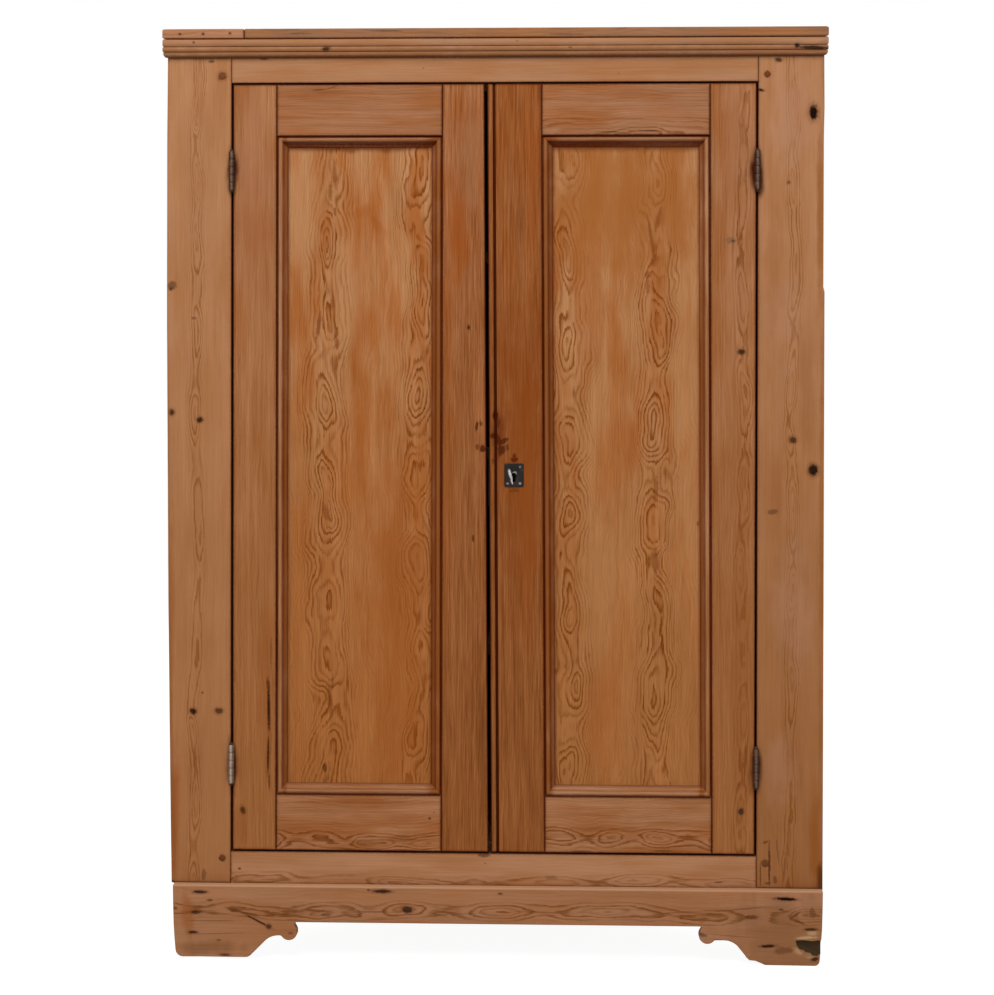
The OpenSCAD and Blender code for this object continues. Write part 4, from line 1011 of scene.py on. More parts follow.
# The cornice's profile as (out, up) points: an ovolo and two reeds with grooves between
def corniceProfile(tall):
    v = cornice
    reed = v["out"] - v["crown"]
    groove = v["out"] - v["groove"]
    profile = [(0, 0)]
    for i in range(9):
        t = math.radians(i * 11.25)
        out = reed - v["ovoloBack"] + v["ovoloBack"] * math.sin(t)
        profile.append((out, v["ovolo"] * (1 - math.cos(t))))
    level = v["ovolo"]
    for height in (v["middleReed"], v["upperReed"]):
        bottom = level + v["gap"]
        profile += [(groove, level), (groove, bottom)]
        profile += crowned(reed, bottom, bottom + height, v["crown"])
        level = bottom + height
    return profile + [(groove, level), (groove, tall), (0, tall)]


def corniceMoulding():
    low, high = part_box("cornice_moulding")
    v = cornice
    reed = v["out"] - v["crown"]
    groove = v["out"] - v["groove"]
    brokenTop = v["ovolo"] + v["gap"] + v["middleReed"]
    profile = corniceProfile(high.z / mm - low.z / mm)
    half = high.x / mm - v["out"]
    rings = []
    for share in steps(0, 1, 0.018):
        ring = []
        for out, z in profile:
            atEnd = reed - 0.5 if z > v["ovolo"] and 0 < out < reed - 0.5 else out
            end = half + min(atEnd, v["out"] - 1.2)
            x = end * (2 * share - 1)
            worn = 0.35 * wearAt(x * mm, v["seed"] + z) if out > groove + 0.1 else 0
            if x > v["brokenFrom"] and v["ovolo"] - 1 < z < brokenTop + 0.1 and out > groove + 0.1:
                worn += v["brokenBack"] * (0.6 + 0.4 * noise.noise(Vector((x * 0.1, z, 1))))
            ring.append(Vector((x * mm, faceY - (out - worn) * mm, low.z + z * mm)))
        rings.append(ring)
    look = {**framePine, **v, "grain": "x", "span": (-566, 566), "faceDepth": low.y / mm,
            "within": [-half - 6, half + 6]}
    woodPiece("corniceMoulding", loft(rings, 0), look, ["cornice_moulding"], 40)


corniceMoulding()

topStrips = {
    "joint": -425.0, "round": 2.6, "short": {"seed": 8.0, "early": tint(172, 121, 89), "warmth": 0.25},
    "long": {
        "seed": 9.0, "early": tint(145, 102, 73), "late": tint(104, 64, 40), "warmth": 0.6, "blotch": 0.2,
    },
    "spots": [
        (-535, 1576, 2.5, 2, 0.8), (-495, 1576, 2.5, 2, 0.8), (-449, 1577, 2.5, 2, 0.8),
        (-180, 1580, 30, 1.6, 0.4), (120, 1573, 40, 1.4, 0.35), (-330, 1576, 22, 1.6, 0.35),
    ],
}


# The strips' ends are mitred back, and a short and a long one meet at a joint
def stripPieces():
    low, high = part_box("cap_strips")
    front, back = low.y, high.y
    endFront = high.x
    endBack = high.x - (back - front)
    joint = topStrips["joint"] * mm
    outlines = {
        "short": [(-endFront, front), (joint, front), (joint, back), (-endBack, back)],
        "long": [(joint + 0.2 * mm, front), (endFront, front), (endBack, back), (joint + 0.2 * mm, back)],
    }
    edge = joint / mm
    for own, span, edges in (("short", (-566, edge), (-600, edge)), ("long", (edge, 566), (edge, 600))):
        name = own + "TopStrip"
        look = {**framePine, **topStrips[own], "grain": "x", "span": span, "faceDepth": low.y / mm,
                "heart": 1600, "depths": [(span[0], 22), (span[1], 14)], "spots": topStrips["spots"],
                "edges": [*edges, 1568, 1640]}
        shape = slab(outlines[own], 2, low.z, high.z, topStrips["round"] * mm, 3)
        woodPiece(name, shape, look, ["cap_strips"])


stripPieces()


topBoardLook = {
    "early": tint(158, 112, 76), "late": tint(112, 70, 42), "grain": "flat", "seed": 10.0,
    "span": (-566, 566), "faceDepth": 1585, "contrast": 0.8, "slot": "carcase_pine",
    "hearts": [(-160, zigzag(-566, 566, 90, 6, 20, 1)), (30, zigzag(-400, 400, 70, 5, 18, 2)),
               (180, zigzag(-250, 250, 60, 6, 16, 3))],
}


# Three boards side by side that taper to the corner behind
def topBoards():
    low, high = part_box("top_boards")
    half = high.x
    count = len(topBoardLook["hearts"])
    step = (high.y - low.y) / count
    shape = bmesh.new()
    for i in range(count):
        y0 = low.y + i * step
        y1 = low.y + (i + 1) * step - 0.5 * mm
        w0 = half - (y0 - low.y)
        w1 = half - (y1 - low.y)
        outline = [(-w0, y0), (w0, y0), (w1, y1), (-w1, y1)]
        if i == count - 1:
            outline = [(-w0, y0), (w0, y0), (0, low.y + half)]
        slab(outline, 2, low.z, high.z, 1.2 * mm, 2, shape=shape)
    seams = [low.y / mm + i * step / mm for i in range(1, count)]
    woodPiece("topBoards", shape, {**innerPine, **topBoardLook, "seams": seams}, ["top_boards"])


topBoards()
print("cornice and top made")


# Doors

doorBoards = {
    "left_door_hinge_stile": {
        "seed": 11.0, "look": doorPine, "heart": -470,
        "depths": [(183, 30), (500, 22), (800, 30), (1100, 20), (1491, 28)],
        "spots": [
            (-383, 424, 2.6, 42, 0.9, 1), (-384, 345, 2.2, 34, 0.8, -1), (-382, 300, 2.0, 16, 0.6),
            (-384, 466, 3.5, 14, 0.6, 8), (-427, 251, 5, 7, 0.7, 20), (-379, 520, 2, 30, 0.35),
        ],
        "stains": [
            (tint(160, 104, 72), [(-412, 1300, 30, 190, 0.45)]),
            (tint(146, 84, 40), [(-390, 480, 14, 200, 0.5), (-432, 230, 10, 40, 0.5)]),
        ],
    },
    "left_door_meeting_stile": {
        "seed": 12.0, "look": {**deepPine, "early": tint(158, 102, 64)}, "heart": 40,
        "depths": [(183, 26), (600, 34), (1000, 24), (1491, 30)], "spots": [(-42, 1077, 2.4, 4.5, 0.8)],
        "marks": [(tint(76, 28, 8), [
            (-28, 909, 3, 10, 0.85, -8), (-21, 914, 3, 7, 0.7, 8), (-18, 871, 6, 7, 0.9),
            (-27, 874, 4, 6, 0.6), (-34, 718, 2.6, 7, 0.7),
        ])],
        "stains": [
            (tint(150, 76, 26), [(-60, 1236, 18, 110, 0.7), (-80, 900, 10, 420, 0.35)]),
            (tint(160, 112, 78), [(-40, 1370, 22, 90, 0.45)]),
            (tint(108, 58, 24), [(-17, 330, 5, 150, 0.5)]),
        ],
    },
    "left_door_top_rail": {
        "seed": 13.0, "look": {**doorPine, "early": tint(156, 105, 72)}, "heart": 1560,
        "depths": [(-371, 30), (-230, 24), (-91, 32)],
        "spots": [(-300, 1482, 14, 1.3, 0.6, 3), (-276, 1486, 12, 1.1, 0.5, 16)],
        "stains": [(tint(150, 90, 50), [(-120, 1470, 14, 26, 0.4)])],
    },
    "left_door_bottom_rail": {
        "seed": 14.0,
        "look": {**doorPine, "early": tint(169, 115, 78), "contrast": 0.9, "figureReach": 22.0},
        "heart": 203,
        "depths": [
            (-371, 6), (-330, 13), (-290, 8), (-250, 14), (-222, 6), (-190, 4), (-150, 14), (-120, 8),
            (-91, 4),
        ],
        "spots": [(-107, 240, 2.4, 2, 0.7), (-100, 250, 1.3, 1.3, 0.6)],
        "stains": [(tint(120, 70, 36), [(-160, 204, 46, 7, 0.45, 4), (-215, 197, 26, 6, 0.4)])],
    },
    "right_door_meeting_stile": {
        "seed": 15.0, "look": {**deepPine, "early": tint(147, 89, 48)}, "heart": 140,
        "depths": [(183, 30), (500, 40), (900, 32), (1491, 42)], "spots": [(4, 926, 5, 9, 0.6)],
        "marks": [
            (tint(70, 24, 6), [
                (9, 915, 3, 10, 0.5), (4, 929, 6, 10, 0.8), (1, 893, 10, 5, 0.85),
                (10, 884, 4, 12, 0.8, 10), (18, 884, 9, 5, 0.8, 30), (14, 868, 7, 10, 0.8, -10),
                (24, 873, 3.4, 8, 0.6), (0, 850, 3, 5, 0.5),
            ]),
            (tint(88, 28, 6), [(36, 852, 8, 5, 0.9), (36, 858, 4, 6, 0.8), (36, 800, 9, 4, 0.4)]),
        ],
        # the groove beside the bead is painted dark as shade
        "depthGrime": [faceY / mm + 1.0, faceY / mm + 3.2, 0.95, faceY / mm + 6.0], "within": [-2, 15],
        "stains": [
            (tint(150, 76, 26), [(66, 1300, 12, 170, 0.5), (60, 760, 14, 300, 0.45)]),
            (tint(128, 60, 14), [(44, 1005, 50, 170, 0.5)]), (tint(134, 68, 24), [(52, 800, 50, 200, 0.6)]),
            (tint(88, 28, 8), [(9, 895, 14, 44, 0.5)]),
        ],
    },
    "right_door_hinge_stile": {
        "seed": 16.0, "look": {**doorPine, "figureReach": 14.0, "early": tint(166, 113, 76)}, "heart": 424,
        "depths": [
            (183, 9), (240, 4), (330, 11), (430, 6), (520, 12), (640, 6), (720, 11), (800, 5), (880, 10),
            (960, 5), (1060, 10), (1150, 6), (1250, 12), (1350, 8), (1491, 12),
        ],
        "spots": [(406, 1224, 4, 3, 0.5), (421, 1036, 6, 5, 0.8), (422, 256, 5, 6, 0.75)],
        "marks": [(tint(128, 92, 66), [
            (402, 1225, 11, 7, 0.75), (420, 1036, 9, 7, 0.6), (421, 256, 8, 8, 0.6),
        ])],
        "stains": [
            (tint(148, 88, 44), [(420, 520, 22, 240, 0.5)]),
            (tint(160, 108, 74), [(410, 1380, 26, 100, 0.5)]),
        ],
    },
    "right_door_top_rail": {
        "seed": 17.0, "look": {**doorPine, "early": tint(160, 111, 79)}, "heart": 1404,
        "depths": [(85, 26), (170, 18), (230, 7), (262, 6), (300, 16), (368, 24)],
        "spots": [(196, 1409, 22, 1.6, 0.5), (262, 1411, 24, 1.8, 0.5)],
        "stains": [(tint(160, 98, 56), [(290, 1440, 60, 14, 0.4)])],
    },
    "right_door_bottom_rail": {
        "seed": 18.0,
        "look": {**doorPine, "early": tint(168, 116, 79), "contrast": 0.9, "figureReach": 26.0},
        "heart": 208,
        "depths": [(85, 12), (120, 6), (160, 14), (200, 7), (240, 14), (280, 6), (320, 13), (368, 8)],
        "spots": [(150, 186, 22, 2, 0.5), (290, 188, 18, 2, 0.4)],
        "stains": [(tint(122, 74, 40), [(180, 203, 60, 6, 0.35, 3)])],
    },
}

# The lines are each door's four upright edges from left to right, as the sagging doors stand: millimetres to
# the right at the lock's height, and the lean over a metre
doorShape = {
    "round": 0.9, "wear": 0.35, "beadWidth": 10.3, "quirkWidth": 3.7, "quirkDepth": 5.4, "tenonThick": 9.0,
    "shoulder": 12.0, "fit": 0.2, "stileSpan": (183, 1492),
    "lines": {
        "left": [(0, 0), (0.8, 0), (3.6, 0), (2.4, 7.0)],
        "right": [(2.4, 7.0), (0.4, 6.4), (1.7, 5.0), (0, 0)],
    },
}


# The bead and its groove along the right door's meeting edge, as points from the back round to the front
def beadOutline(x0, x1, y0, y1):
    r = doorShape["beadWidth"] * mm / 2
    quirkEnd = x0 + 2 * r + doorShape["quirkWidth"] * mm
    deep = y0 + doorShape["quirkDepth"] * mm
    points = [(x0, y1)]
    for i in range(13):
        t = math.radians(i * 15)
        points.append((x0 + r - r * math.cos(t), y0 + r - r * math.sin(t)))
    return points + [(x0 + 2 * r, deep), (quirkEnd, deep), (quirkEnd, y0), (x1, y0), (x1, y1)]


def doorMaterial(node, low, high, leans):
    values = doorBoards[node]
    upright = "stile" in node
    span = doorShape["stileSpan"] if upright else (low.x / mm, high.x / mm)
    look = {**values["look"], **values, "grain": "z" if upright else "x", "span": span,
            "faceDepth": low.y / mm, "edges": faceEdges(low, high), "leans": leans}
    if "hinge" in node:
        look["stains"] = [*values["stains"], hingeDarkening]
    return pine(node + "Pine", look)


# A rail with its two tenons. Gives the tenons' corners across the board, for the stiles' mortises
def doorRail(side, key, field):
    node = side + "_door_" + key
    low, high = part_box(node)
    v = doorShape
    lines = v["lines"][side]
    midY = (low.y + high.y) / 2
    midZ = (low.z + high.z) / 2
    half = v["tenonThick"] * mm / 2
    shoulder = v["shoulder"] * mm
    corners = (midY - half, low.z + shoulder, midY + half, high.z - shoulder)
    left = Vector((field[0] + standing(lines[1], midZ), low.y, low.z))
    right = Vector((field[1] + standing(lines[2], midZ), high.y, high.z))
    ends = (low.x + standing(lines[0], midZ), high.x + standing(lines[3], midZ))
    shape = board(left, right, 0, v["round"] * mm, v["wear"] * mm, doorBoards[node]["seed"],
                  [(end, corners) for end in ends])
    material = doorMaterial(node, left, right, pineLooks["leans"])
    addPiece(node + "_worn", shape, material, side + "_door", [node])
    return corners


def doorStile(side, key, tenons):
    node = side + "_door_" + key
    low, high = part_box(node)
    v = doorShape
    seed = doorBoards[node]["seed"]
    own = v["lines"][side][:2] if (side == "left") == (key == "hinge_stile") else v["lines"][side][2:]
    fit = v["fit"] * mm
    cutters = [boxShape((low.x - 0.01, y0 - fit, z0 - fit), (high.x + 0.01, y1 + fit, z1 + fit))
               for y0, z0, y1, z1 in tenons]
    if node == "right_door_meeting_stile":
        cutters.append(keyholeShape(low.y - 0.01, high.y + 0.01))
        rings = []
        for z in steps(low.z, high.z, 0.03):
            outline = beadOutline(low.x + standing(own[0], z), high.x + standing(own[1], z), low.y, high.y)
            worn = 0.3 * mm * wearAt(z, seed)
            rings.append([Vector((px, max(py, low.y + worn), z)) for px, py in outline])
        shape = loft(rings, 0.5 * mm, 2, 40)
    else:
        shape = board(low, high, 2, v["round"] * mm, v["wear"] * mm, seed, lines=own)
    material = doorMaterial(node, low, high, own)
    piece = addPiece(node + "_worn", shape, material, side + "_door", [node])
    carve(piece, cutters)


# Makes a door's rails and stiles, and gives the left and right edges of the field between the stiles
def doorParts(side):
    hingeStile, meetingStile = [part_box(side + "_door_" + key) for key in ("hinge_stile", "meeting_stile")]
    first, last = (hingeStile, meetingStile) if side == "left" else (meetingStile, hingeStile)
    field = (first[1].x, last[0].x)
    tenons = [doorRail(side, key, field) for key in ("bottom_rail", "top_rail")]
    for key in ("hinge_stile", "meeting_stile"):
        doorStile(side, key, tenons)
    return field


# Keyhole and its plate

lock = {"x": 35.7, "holeRadius": 4.0, "slotWidth": 5.0, "slotDrop": 12.0, "plateRound": 2.5}


def keyholeOutline():
    half = lock["slotWidth"] / 2
    start = math.degrees(math.asin(half / lock["holeRadius"]))
    points = [(-half, -lock["slotDrop"]), (half, -lock["slotDrop"])]
    points += arc((0, 0), lock["holeRadius"], start - 90, 270 - start, 20)
    return [((lock["x"] + px) * mm, lockHeight + pz * mm) for px, pz in points]


# The keyhole as a cutter between two depths
def keyholeShape(y0, y1):
    return slab(keyholeOutline(), 1, y0, y1, 0)


sides = ("left", "right")
fields = {side: doorParts(side) for side in sides}
print("doors made")


# Mouldings round the panels: a round nose, a step and a hollow

mouldings = {
    "width": 18.0, "sink": 11.0, "noseRadius": 3.8, "noseInset": 2.2, "stepHeight": 5.4, "stepWidth": 1.2,
    "toe": 1.4,
    "dark": {"left": -96, "right": 90},  # where a dark and an orange stain run up the moulding
    "orange": {"left": -356.5, "right": 355.5},
    "seeds": {"leftMouldingUprights": 40, "leftMouldingLengths": 44, "rightMouldingUprights": 50,
              "rightMouldingLengths": 54},
    "early": tint(174, 124, 88), "warmth": 0.5, "blotch": 0.2, "grimeColour": tint(86, 26, 0),
    "span": (-500, 1500), "heart": -600, "depths": [(-500, 20), (1500, 30)],
    # Dirt and painted shade from the moulding's outer edge (0) to the panel (1); the upper curve paints the
    # shadow under the nose
    "sideDirtAndShade": [
        (0, 0.95), (0.1, 0.9), (0.2, 0.15), (0.33, 0.0), (0.48, 0.04), (0.56, 0.4), (0.62, 0.5),
        (0.7, 0.35), (0.84, 0.35), (0.93, 0.65), (1, 0.8),
    ],
    "upperDirtAndShade": [
        (0, 0.95), (0.14, 0.85), (0.22, 0.4), (0.33, 0.28), (0.46, 0.4), (0.54, 0.7), (0.62, 0.8),
        (0.8, 0.85), (1, 0.98),
    ],
    "ledgeDirtAndShade": [
        (0, 0.8), (0.07, 0.5), (0.12, 0.05), (0.3, 0.0), (0.44, 0.0), (0.5, 0.4), (0.56, 0.0), (0.72, 0.05),
        (0.84, 0.3), (0.94, 0.45), (1, 0.55),
    ],
}


def mouldingProfile():
    v = mouldings
    noseZ = v["sink"] - v["noseRadius"]
    hollowX = v["noseInset"] + 2 * v["noseRadius"] + v["stepWidth"]
    hollowWidth = v["width"] - hollowX
    points = [(0, 0), (0, noseZ), (v["noseInset"], noseZ)]
    points += arc((v["noseInset"] + v["noseRadius"], noseZ), v["noseRadius"], 172, 8, 12)
    points += [(v["noseInset"] + 2 * v["noseRadius"], v["stepHeight"]), (hollowX, v["stepHeight"])]
    for i in range(1, 9):
        t = math.radians(i * 11.25)
        points.append((hollowX + hollowWidth * (1 - math.cos(t)),
                       v["stepHeight"] - (v["stepHeight"] - v["toe"]) * math.sin(t)))
    return points + [(v["width"], 0)]


# One mitred length of moulding, upright (grain z) or level, at the low or the far side of the panel
def mouldingLength(shape, profile, box, lines, grain, far):
    low, high = box
    gap = 0.1 * mm
    start, end = low.z, high.z
    if grain == "x":
        level = high.z if far else low.z
        start, end = low.x + standing(lines[0], level), high.x + standing(lines[1], level)
    rings = []
    for share in steps(0, 1, 0.03):
        ring = []
        for inward, out in profile:
            a = inward * mm
            along = start + a + gap + (end - start - 2 * a - 2 * gap) * share
            worn = 0.25 * mm * wearAt(along, 30 + inward) if out > 6 else 0
            y = high.y - out * mm + worn
            if grain == "z":
                x = high.x - a if far else low.x + a
                ring.append(Vector((x + standing(lines[far], along), y, along)))
            else:
                ring.append(Vector((along, y, high.z - a if far else low.z + a)))
        rings.append(ring)
    loft(rings, 0, shape=shape)


def panelMoulding(side):
    node = side + "_door_moulding"
    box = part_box(node)
    v = mouldings
    lines = doorShape["lines"][side][1:3]
    profile = mouldingProfile()
    midZ = 841
    stains = [(tint(132, 70, 24), [(v["dark"][side], midZ, 20, 1200, 0.85, 0)]),
              (tint(134, 70, 20), [(v["orange"][side], midZ, 5, 1200, 0.7, 0)])]
    for kind, grain in (("Uprights", "z"), ("Lengths", "x")):
        shape = bmesh.new()
        for far in (False, True):
            mouldingLength(shape, profile, box, lines, grain, far)
        name = side + "Moulding" + kind
        look = {**doorPine, **v, "grain": grain, "seed": v["seeds"][name], "recess": faceEdges(*box),
                "leans": lines, "stains": stains}
        addPiece(name, shape, pine(name, look), side + "_door", [node], 40)


for side in sides:
    panelMoulding(side)
print("mouldings made")


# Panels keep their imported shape: flat in front, bevelled behind

lineUnder = 5  # how far the dark line of the lower edge lies under the moulding
panels = {
    "left_door_panel": {
        "seed": 21.0, "seams": [-206.0], "foot": tint(165, 103, 54),
        "hearts": [
            (-283, [
                (280, 16), (323, 6), (380, 15), (439, 27), (500, 12), (560, 24), (610, 14), (660, 26),
                (714, 15), (765, 6), (790, 13), (816, 7), (880, 22), (953, 10), (1010, 20), (1087, 5),
                (1165, 17), (1227, 6), (1290, 15), (1403, 24),
            ]),
            (-128, [
                (280, 20), (320, 26), (380, 13), (440, 28), (520, 13), (600, 28), (680, 11), (760, 28),
                (830, 14), (902, 26), (960, 11), (1040, 22), (1116, 6), (1200, 12), (1260, 25), (1329, 14),
                (1403, 30),
            ]),
        ],
        "spots": [(-288, 323, 4, 9, 0.6), (-275, 470, 3, 16, 0.3), (-360, 1000, 2, 120, 0.3)],
        "stains": [
            (tint(156, 82, 28), [
                (-224, 1275, 20, 14, 0.5, 30), (-200, 1255, 9, 22, 0.5, 30), (-225, 1000, 20, 300, 0.4),
                (-165, 600, 60, 330, 0.5),
            ]),
            (tint(186, 134, 92), [(-330, 1300, 40, 160, 0.4), (-250, 1130, 26, 120, 0.3)]),
            # painted shadow under the top moulding
            (tint(84, 34, 8), [(-231, 1386, 190, 9, 0.6)]),
        ],
        "marks": [(tint(116, 60, 24), [
            (-272, 1340, 4, 30, 0.5, 6), (-280, 1310, 4, 18, 0.6), (-272, 1275, 3, 9, 0.6),
            (-276, 1118, 4, 10, 0.5), (-300, 1080, 4, 26, 0.6, -10), (-268, 1050, 4, 11, 0.6),
            (-280, 440, 6, 34, 0.5, 6), (-286, 760, 7, 16, 0.5, 10),
        ])],
    },
    "right_door_panel": {
        "seed": 22.0, "seams": [199.0], "foot": tint(167, 108, 61),
        "hearts": [
            (128, [
                (280, 14), (322, 6), (390, 20), (450, 12), (530, 22), (596, 7), (640, 12), (700, 18),
                (761, 5), (820, 20), (877, 9), (960, 24), (1040, 12), (1110, 20), (1193, 6), (1290, 22),
                (1363, 7), (1403, 18),
            ]),
            (276, [
                (280, 22), (330, 28), (400, 20), (469, 5), (545, 24), (620, 15), (682, 24), (740, 13),
                (818, 28), (860, 20), (903, 5), (990, 18), (1056, 5), (1150, 14), (1230, 26), (1294, 12),
                (1332, 5), (1403, 20),
            ]),
        ],
        "spots": [(123, 500, 2, 5, 0.3), (349, 745, 3, 5, 0.4)],
        "stains": [
            (tint(156, 84, 32), [
                (230, 880, 18, 60, 0.5), (232, 1290, 34, 60, 0.5), (160, 1180, 30, 200, 0.4),
                (190, 420, 30, 130, 0.4),
            ]),
            (tint(180, 128, 84), [(330, 1000, 26, 330, 0.4), (180, 640, 40, 160, 0.3)]),
            # painted shadow under the top moulding
            (tint(84, 34, 8), [(226, 1384, 190, 9, 0.6)]),
            (tint(158, 96, 46), [(226, 1290, 170, 150, 0.75)]),
        ],
        "marks": [(tint(118, 60, 24), [
            (277, 800, 5, 26, 0.5), (276, 680, 7, 24, 0.5, 4), (268, 1230, 4, 40, 0.5, 8),
            (280, 1262, 4, 26, 0.5, -14), (262, 1168, 6, 8, 0.6, 20), (262, 1150, 4, 16, 0.5),
        ])],
    },
}


def panelMaterial(node, values):
    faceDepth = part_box(node)[0].y / mm
    side = node.split("_")[0]
    border = mouldings["width"]
    x0, x1 = fields[side]
    mouldLow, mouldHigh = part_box(side + "_door_moulding")
    z0, z1 = mouldLow.z / mm + border - lineUnder, mouldHigh.z / mm - border
    edges = [x0 / mm + border, x1 / mm - border, z0, z1]
    look = {**panelPine, **values, "grain": "z", "span": (280, 1404), "faceDepth": faceDepth, "edges": edges,
            "leans": doorShape["lines"][side][1:3]}
    repaint(node, pine(node + "Pine", look))


for pieceName, pieceValues in panels.items():
    panelMaterial(pieceName, pieceValues)
print("panels painted")


# Walls, shelves and the other parts behind the front

# Looks of an inner board whose figures aren't listed
def innerLook(grain, seed, span, heart, faceDepth, depths=(5, 20), **extra):
    low, high = span
    step = max(60.0, (high - low) / (8 + seed % 7))
    return {**innerPine, "grain": grain, "seed": seed, "span": span, "faceDepth": faceDepth,
            "hearts": [(heart, zigzag(low, high, step, *depths, seed))], **extra}


walls = {
    "early": tint(180, 134, 94), "late": tint(132, 84, 50), "contrast": 0.6, "figureReach": 56.0,
    "wiggle": 90.0, "swell": 40.0,
}
# Each board's seed, how far its heart line is from its middle, and the depths that the line swings between
wallBoards = {
    "left_wall_front_board": (61, 24, (6, 24)), "left_wall_middle_board": (65, -150, (30, 44)),
    "left_wall_back_board": (70, -20, (8, 30)), "right_wall_front_board": (66, -30, (7, 26)),
    "right_wall_middle_board": (68, 30, (9, 34)), "right_wall_back_board": (64, 160, (26, 40)),
}


def wallMaterial(node, seed, shift, depths):
    grain = node.split("_")[0]
    low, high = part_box(node)
    middleX = (low.x + high.x) / 2 / mm
    middleY = (low.y + high.y) / 2 / mm
    heart = (middleX + (middleY if grain == "left" else -middleY)) * root
    look = innerLook(grain, seed, (45, 1568), heart + shift, 380, depths, **walls)
    if "front" not in node:
        edge = (low.x + low.y) * root + 8 * mm if grain == "left" else (high.x - low.y) * root - 8 * mm
        look["seamAt"] = edge / mm
    repaint(node, pine(node + "Pine", look))


for pieceName, pieceValues in wallBoards.items():
    wallMaterial(pieceName, *pieceValues)


# Shelves of two boards, with painted shade at their front edge
shelves = {"seam": 228, "figureReach": 60.0, "grimeColour": tint(60, 32, 14), "within": [-900, 900]}


def shelfMaterial(node, seed):
    low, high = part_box(node)
    span = (low.x / mm, high.x / mm)
    front = low.y / mm
    look = innerLook("flat", seed, span, -150, high.z / mm, **shelves, seams=[front + shelves["seam"]],
                     depthGrime=[front + 7, front + 1, 0.75, 900])
    look["hearts"].append((90, zigzag(*span, 70, 5, 18, seed + 5)))
    repaint(node, pine(node + "Pine", look))


for number, pieceName in enumerate(("bottom_board", "lower_shelf", "middle_shelf", "upper_shelf")):
    shelfMaterial(pieceName, 70 + number)

for pieceName, grain, seed in (("shelf_battens", "left", 74), ("door_stop", "x", 75),
                               ("corner_post", "z", 76), ("foot_blocks", "z", 77)):
    low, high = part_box(pieceName)
    span = (low.x / mm, high.x / mm) if grain == "x" else (low.z / mm, high.z / mm)
    repaint(pieceName, pine(pieceName + "Pine", innerLook(grain, seed, span, 20, high.y / mm)))
print("inner boards painted")


# Iron

ironLooks = {
    "hinge_iron": {
        "seed": 80.0, "dark": tint(50, 29, 18), "rust": tint(86, 46, 26), "rustShare": 0.75,
        "bare": tint(118, 88, 68), "bareShare": 0.3, "metal": 0.2, "roughness": 0.6,
        "bright": tint(146, 118, 98), "crest": [faceY / mm - 10.4, faceY / mm - 9.4, 0.4],
    },
    "greyHinge": {
        "seed": 81.0, "dark": tint(112, 92, 76), "rust": tint(118, 84, 60), "rustShare": 0.4,
        "bare": tint(176, 156, 138), "bareShare": 0.5, "metal": 0.2, "roughness": 0.55,
        "bright": tint(196, 178, 160), "crest": [faceY / mm - 10.4, faceY / mm - 9.4, 0.6],
    },
    "fixing_iron": {
        "seed": 82.0, "dark": tint(52, 46, 43), "rust": tint(92, 54, 34), "rustShare": 0.7,
        "bare": tint(120, 112, 106), "bareShare": 0.3, "metal": 0.5, "roughness": 0.55,
    },
    "lock_iron": {
        "seed": 83.0, "dark": tint(60, 56, 53), "rust": tint(94, 60, 40), "rustShare": 0.5,
        "bare": tint(130, 124, 118), "bareShare": 0.4, "metal": 0.6, "roughness": 0.5,
    },
    "plate_iron": {
        "seed": 84.0, "dark": tint(30, 26, 26), "rust": tint(48, 36, 30), "rustShare": 0.3,
        "bare": tint(78, 74, 72), "bareShare": 0.3, "metal": 0.55, "roughness": 0.4,
        "bright": tint(206, 198, 192),
        # rubbed metal and painted highlights round the keyhole
        "rubbedHighlights": [
            (29.2, 828, 2.6, 10, 1.0, 16), (32, 818, 2.2, 8, 0.7, 8), (37, 829.5, 3.8, 3.2, 0.7),
            (46, 840, 2.2, 2.2, 0.25), (46, 812, 2.4, 2.4, 0.35), (25, 812, 2, 2, 0.25),
        ],
    },
}
ironPaints = {key: iron(key + "Worn", look) for key, look in ironLooks.items()}
for part in frame["record"]["subparts"]:
    if part["material_slot"] in ironPaints:
        repaint(part["node"], ironPaints[part["material_slot"]])


# The leaves are let into the stiles, and the pins stand in front of the face
hinges = {
    "radius": 5.0, "count": 5, "height": 66.0, "leafDepth": 26.3, "leafThick": 1.8, "gap": 0.1, "slit": 0.5,
    "roundEnd": 0.5, "out": 5.3,
}


# A knuckle turned round the hinge's axis, with rounded ends and a hammered surface
def knuckle(shape, axis, bottom, top, dents):
    x, y, z0 = axis
    v = hinges
    rings = []
    for z, inset in ((bottom, v["roundEnd"]), (bottom + 0.2, 0.15), (bottom + v["roundEnd"], 0),
                     ((bottom + top) / 2, 0), (top - v["roundEnd"], 0), (top - 0.2, 0.15),
                     (top, v["roundEnd"])):
        radius = v["radius"] - inset
        ring = []
        for px, py in arc((0, 0), radius, 0, 345, 23):
            dent = 0.22 * noise.noise(Vector((px * 0.5, py * 0.5, z * 0.3 + dents)))
            scale = min(1.0, 1 + (dent - 0.1) / radius)
            ring.append(Vector((x + px * scale * mm, y + py * scale * mm, z0 + z * mm)))
        rings.append(ring)
    loft(rings, 0, shape=shape)


